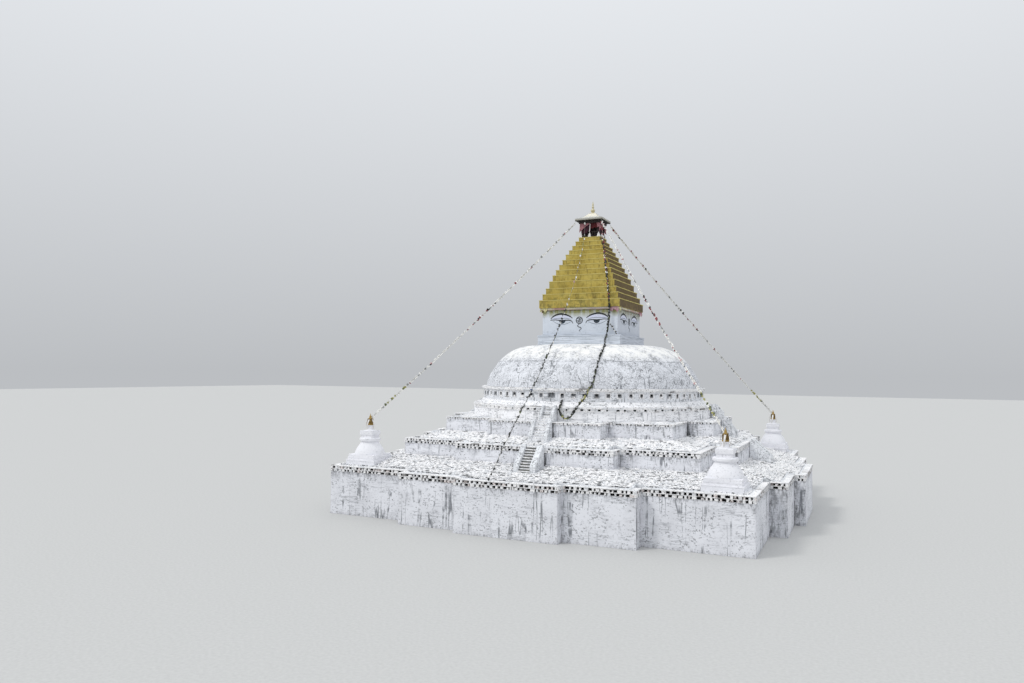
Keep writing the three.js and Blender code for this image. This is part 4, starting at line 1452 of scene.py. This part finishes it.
def pavilion_rails():
    """Floor boards, rails and little whitewashed peaks round the pavilion's foot."""
    pile = Pile(72)
    board, peak = 0, 1
    floor, rail = PAVILION_FOOT + 0.11, PAVILION_FOOT + 0.51
    beam = (PAVILION_TOP - 0.24, PAVILION_TOP - 0.005)
    rail_at, peaks_at = 0.78, 0.88
    posts, post_pitch = 7, 0.24
    for turn in range(4):
        pile.brick(at_side(turn, 0.86), (-0.9, 0.9), (-0.06, 0.03), (floor, floor + 0.06), 0.004, board)
        side = at_side(turn, rail_at)
        pile.brick(side, (-0.8, 0.8), (-0.03, 0.03), (rail, rail + 0.06), 0.003, board)
        pile.brick(at_side(turn, 1.0), (-1.04, 1.04), (0.0, 0.05), beam, 0.003, board)
        for i in range(posts):
            x = post_pitch * (i - posts // 2)
            pile.brick(side, (x - 0.025, x + 0.025), (-0.02, 0.02), (floor + 0.03, rail), 0.002, board)
        for x in (peaks_at, 0.0):
            peak_at(pile, at_side(turn, peaks_at), x, peak)
    pile.make("pavilion_rails", timber, white_cloth, slot="dark_timber")


canopy_tent()
canopy_rim()
canopy_ribs()
pinnacle()
pavilion_rails()

# small stupas at the corners, as profiles of [radius, height] and squares of [half, foot, top]
SMALL_BELL = [(1.24, 4.82), (1.255, 4.88), (1.235, 4.98), (1.17, 5.16), (1.06, 5.36), (0.94, 5.54),
              (0.84, 5.68), (0.77, 5.79), (0.72, 5.88)]
SMALL_TOP = [(0.72, 5.87), (0.8, 5.9), (0.805, 5.95), (0.84, 5.965), (0.88, 5.98), (0.885, 6.06),
             (0.88, 6.13), (0.82, 6.19), (0.5, 6.2)]
SMALL_NECK = [(0.33, 6.78), (0.3, 6.84), (0.27, 6.86), (0.26, 7.0), (0.25, 7.15), (0.28, 7.18),
              (0.28, 7.24), (0.2, 7.26)]
SMALL_FINIAL = [(0.22, 7.25), (0.25, 7.29), (0.25, 7.35), (0.19, 7.4), (0.17, 7.45), (0.2, 7.52),
                (0.2, 7.6), (0.14, 7.66), (0.13, 7.7), (0.16, 7.76), (0.15, 7.82), (0.1, 7.88),
                (0.1, 7.93), (0.09, 7.99), (0.05, 8.06), (0.03, 8.14), (0.02, 8.2), (0.003, 8.228)]
SMALL_SQUARES = [(1.4, 3.9, 4.34), (1.43, 4.34, 4.42), (1.3, 4.42, 4.56), (1.32, 4.56, 4.62),
                 (1.27, 4.62, 4.84), (0.55, 6.18, 6.46), (0.61, 6.46, 6.76), (0.59, 6.76, 6.8)]


def small_stupa(seed, corner, signs):
    centre = Vector((SMALL_AT * signs[0], SMALL_AT * signs[1], 0))
    bell = lathe("small_bell_" + corner, smooth_profile(SMALL_BELL, 3), 72, small_wall, 50, 0.02, centre,
                 size=0.4)
    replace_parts(bell, "corner_stupa_" + corner)
    lathe("small_cornice_" + corner, SMALL_TOP, 72, small_wall, 35, 0.006, centre)
    lathe("small_neck_" + corner, SMALL_NECK, 40, small_wall, 35, 0.0, centre)
    finial = lathe("small_finial_" + corner, smooth_profile(SMALL_FINIAL, 2), 32, worn_gilt, 60, 0.03, centre,
                   "gilding", 0.2)
    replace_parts(finial, "corner_finial_" + corner)
    body = Pile(80 + seed)
    place = at_side(0)._replace(start=centre)
    for half, low, high in SMALL_SQUARES:
        body.brick(place, (-half, half), (-half, half), (low, high), 0.008)
    body.make("small_body_" + corner, small_wall)
    for turn, side in enumerate(SIDES):
        for name, cloth in SMALL_CLOTHS.items():
            hung_cloth(name + corner + "_" + side, cloth, turn, cloth.holder + corner, centre)


for seed, (corner, signs) in enumerate(CORNER_SIGNS.items()):
    small_stupa(seed, corner, signs)


# floor and light
def add_floor():
    far, below = 400, -0.005
    mesh = bpy.data.meshes.new("floor")
    mesh.from_pydata([(-far, -far, below), (far, -far, below), (far, far, below), (-far, far, below)], [],
                     [(0, 1, 2, 3)])
    mesh.materials.append(plain("floor", (200, 200, 198)))
    add_object("floor", mesh)


def add_sun():
    """A weak broad sun from the left, in front and above."""
    data = bpy.data.lights.new("sun", "SUN")
    data.energy = 0.95
    data.angle = math.radians(12)
    data.color = (1.0, 0.985, 0.96)
    sun = add_object("sun", data)
    sun.rotation_euler = Vector((0.45, 0.5, -0.75)).to_track_quat("-Z", "Y").to_euler()


def add_sky():
    """An overcast sky that is brighter high up."""
    world = bpy.data.worlds.new("sky")
    bpy.context.scene.world = world
    world.use_nodes = True
    tree = world.node_tree
    background = tree.nodes["Background"]
    background.inputs["Color"].default_value = (0.93, 0.96, 1.0, 1)
    place = tree.nodes.new("ShaderNodeTexCoord")
    split = tree.nodes.new("ShaderNodeSeparateXYZ")
    rise = tree.nodes.new("ShaderNodeMapRange")
    for name, value in {"From Min": 0.0, "From Max": 0.9, "To Min": 0.54, "To Max": 1.15}.items():
        rise.inputs[name].default_value = value
    tree.links.new(place.outputs["Generated"], split.inputs[0])
    tree.links.new(split.outputs["Z"], rise.inputs["Value"])
    tree.links.new(rise.outputs["Result"], background.inputs["Strength"])
    bpy.context.scene.view_settings.view_transform = "Standard"


add_floor()
add_sun()
add_sky()
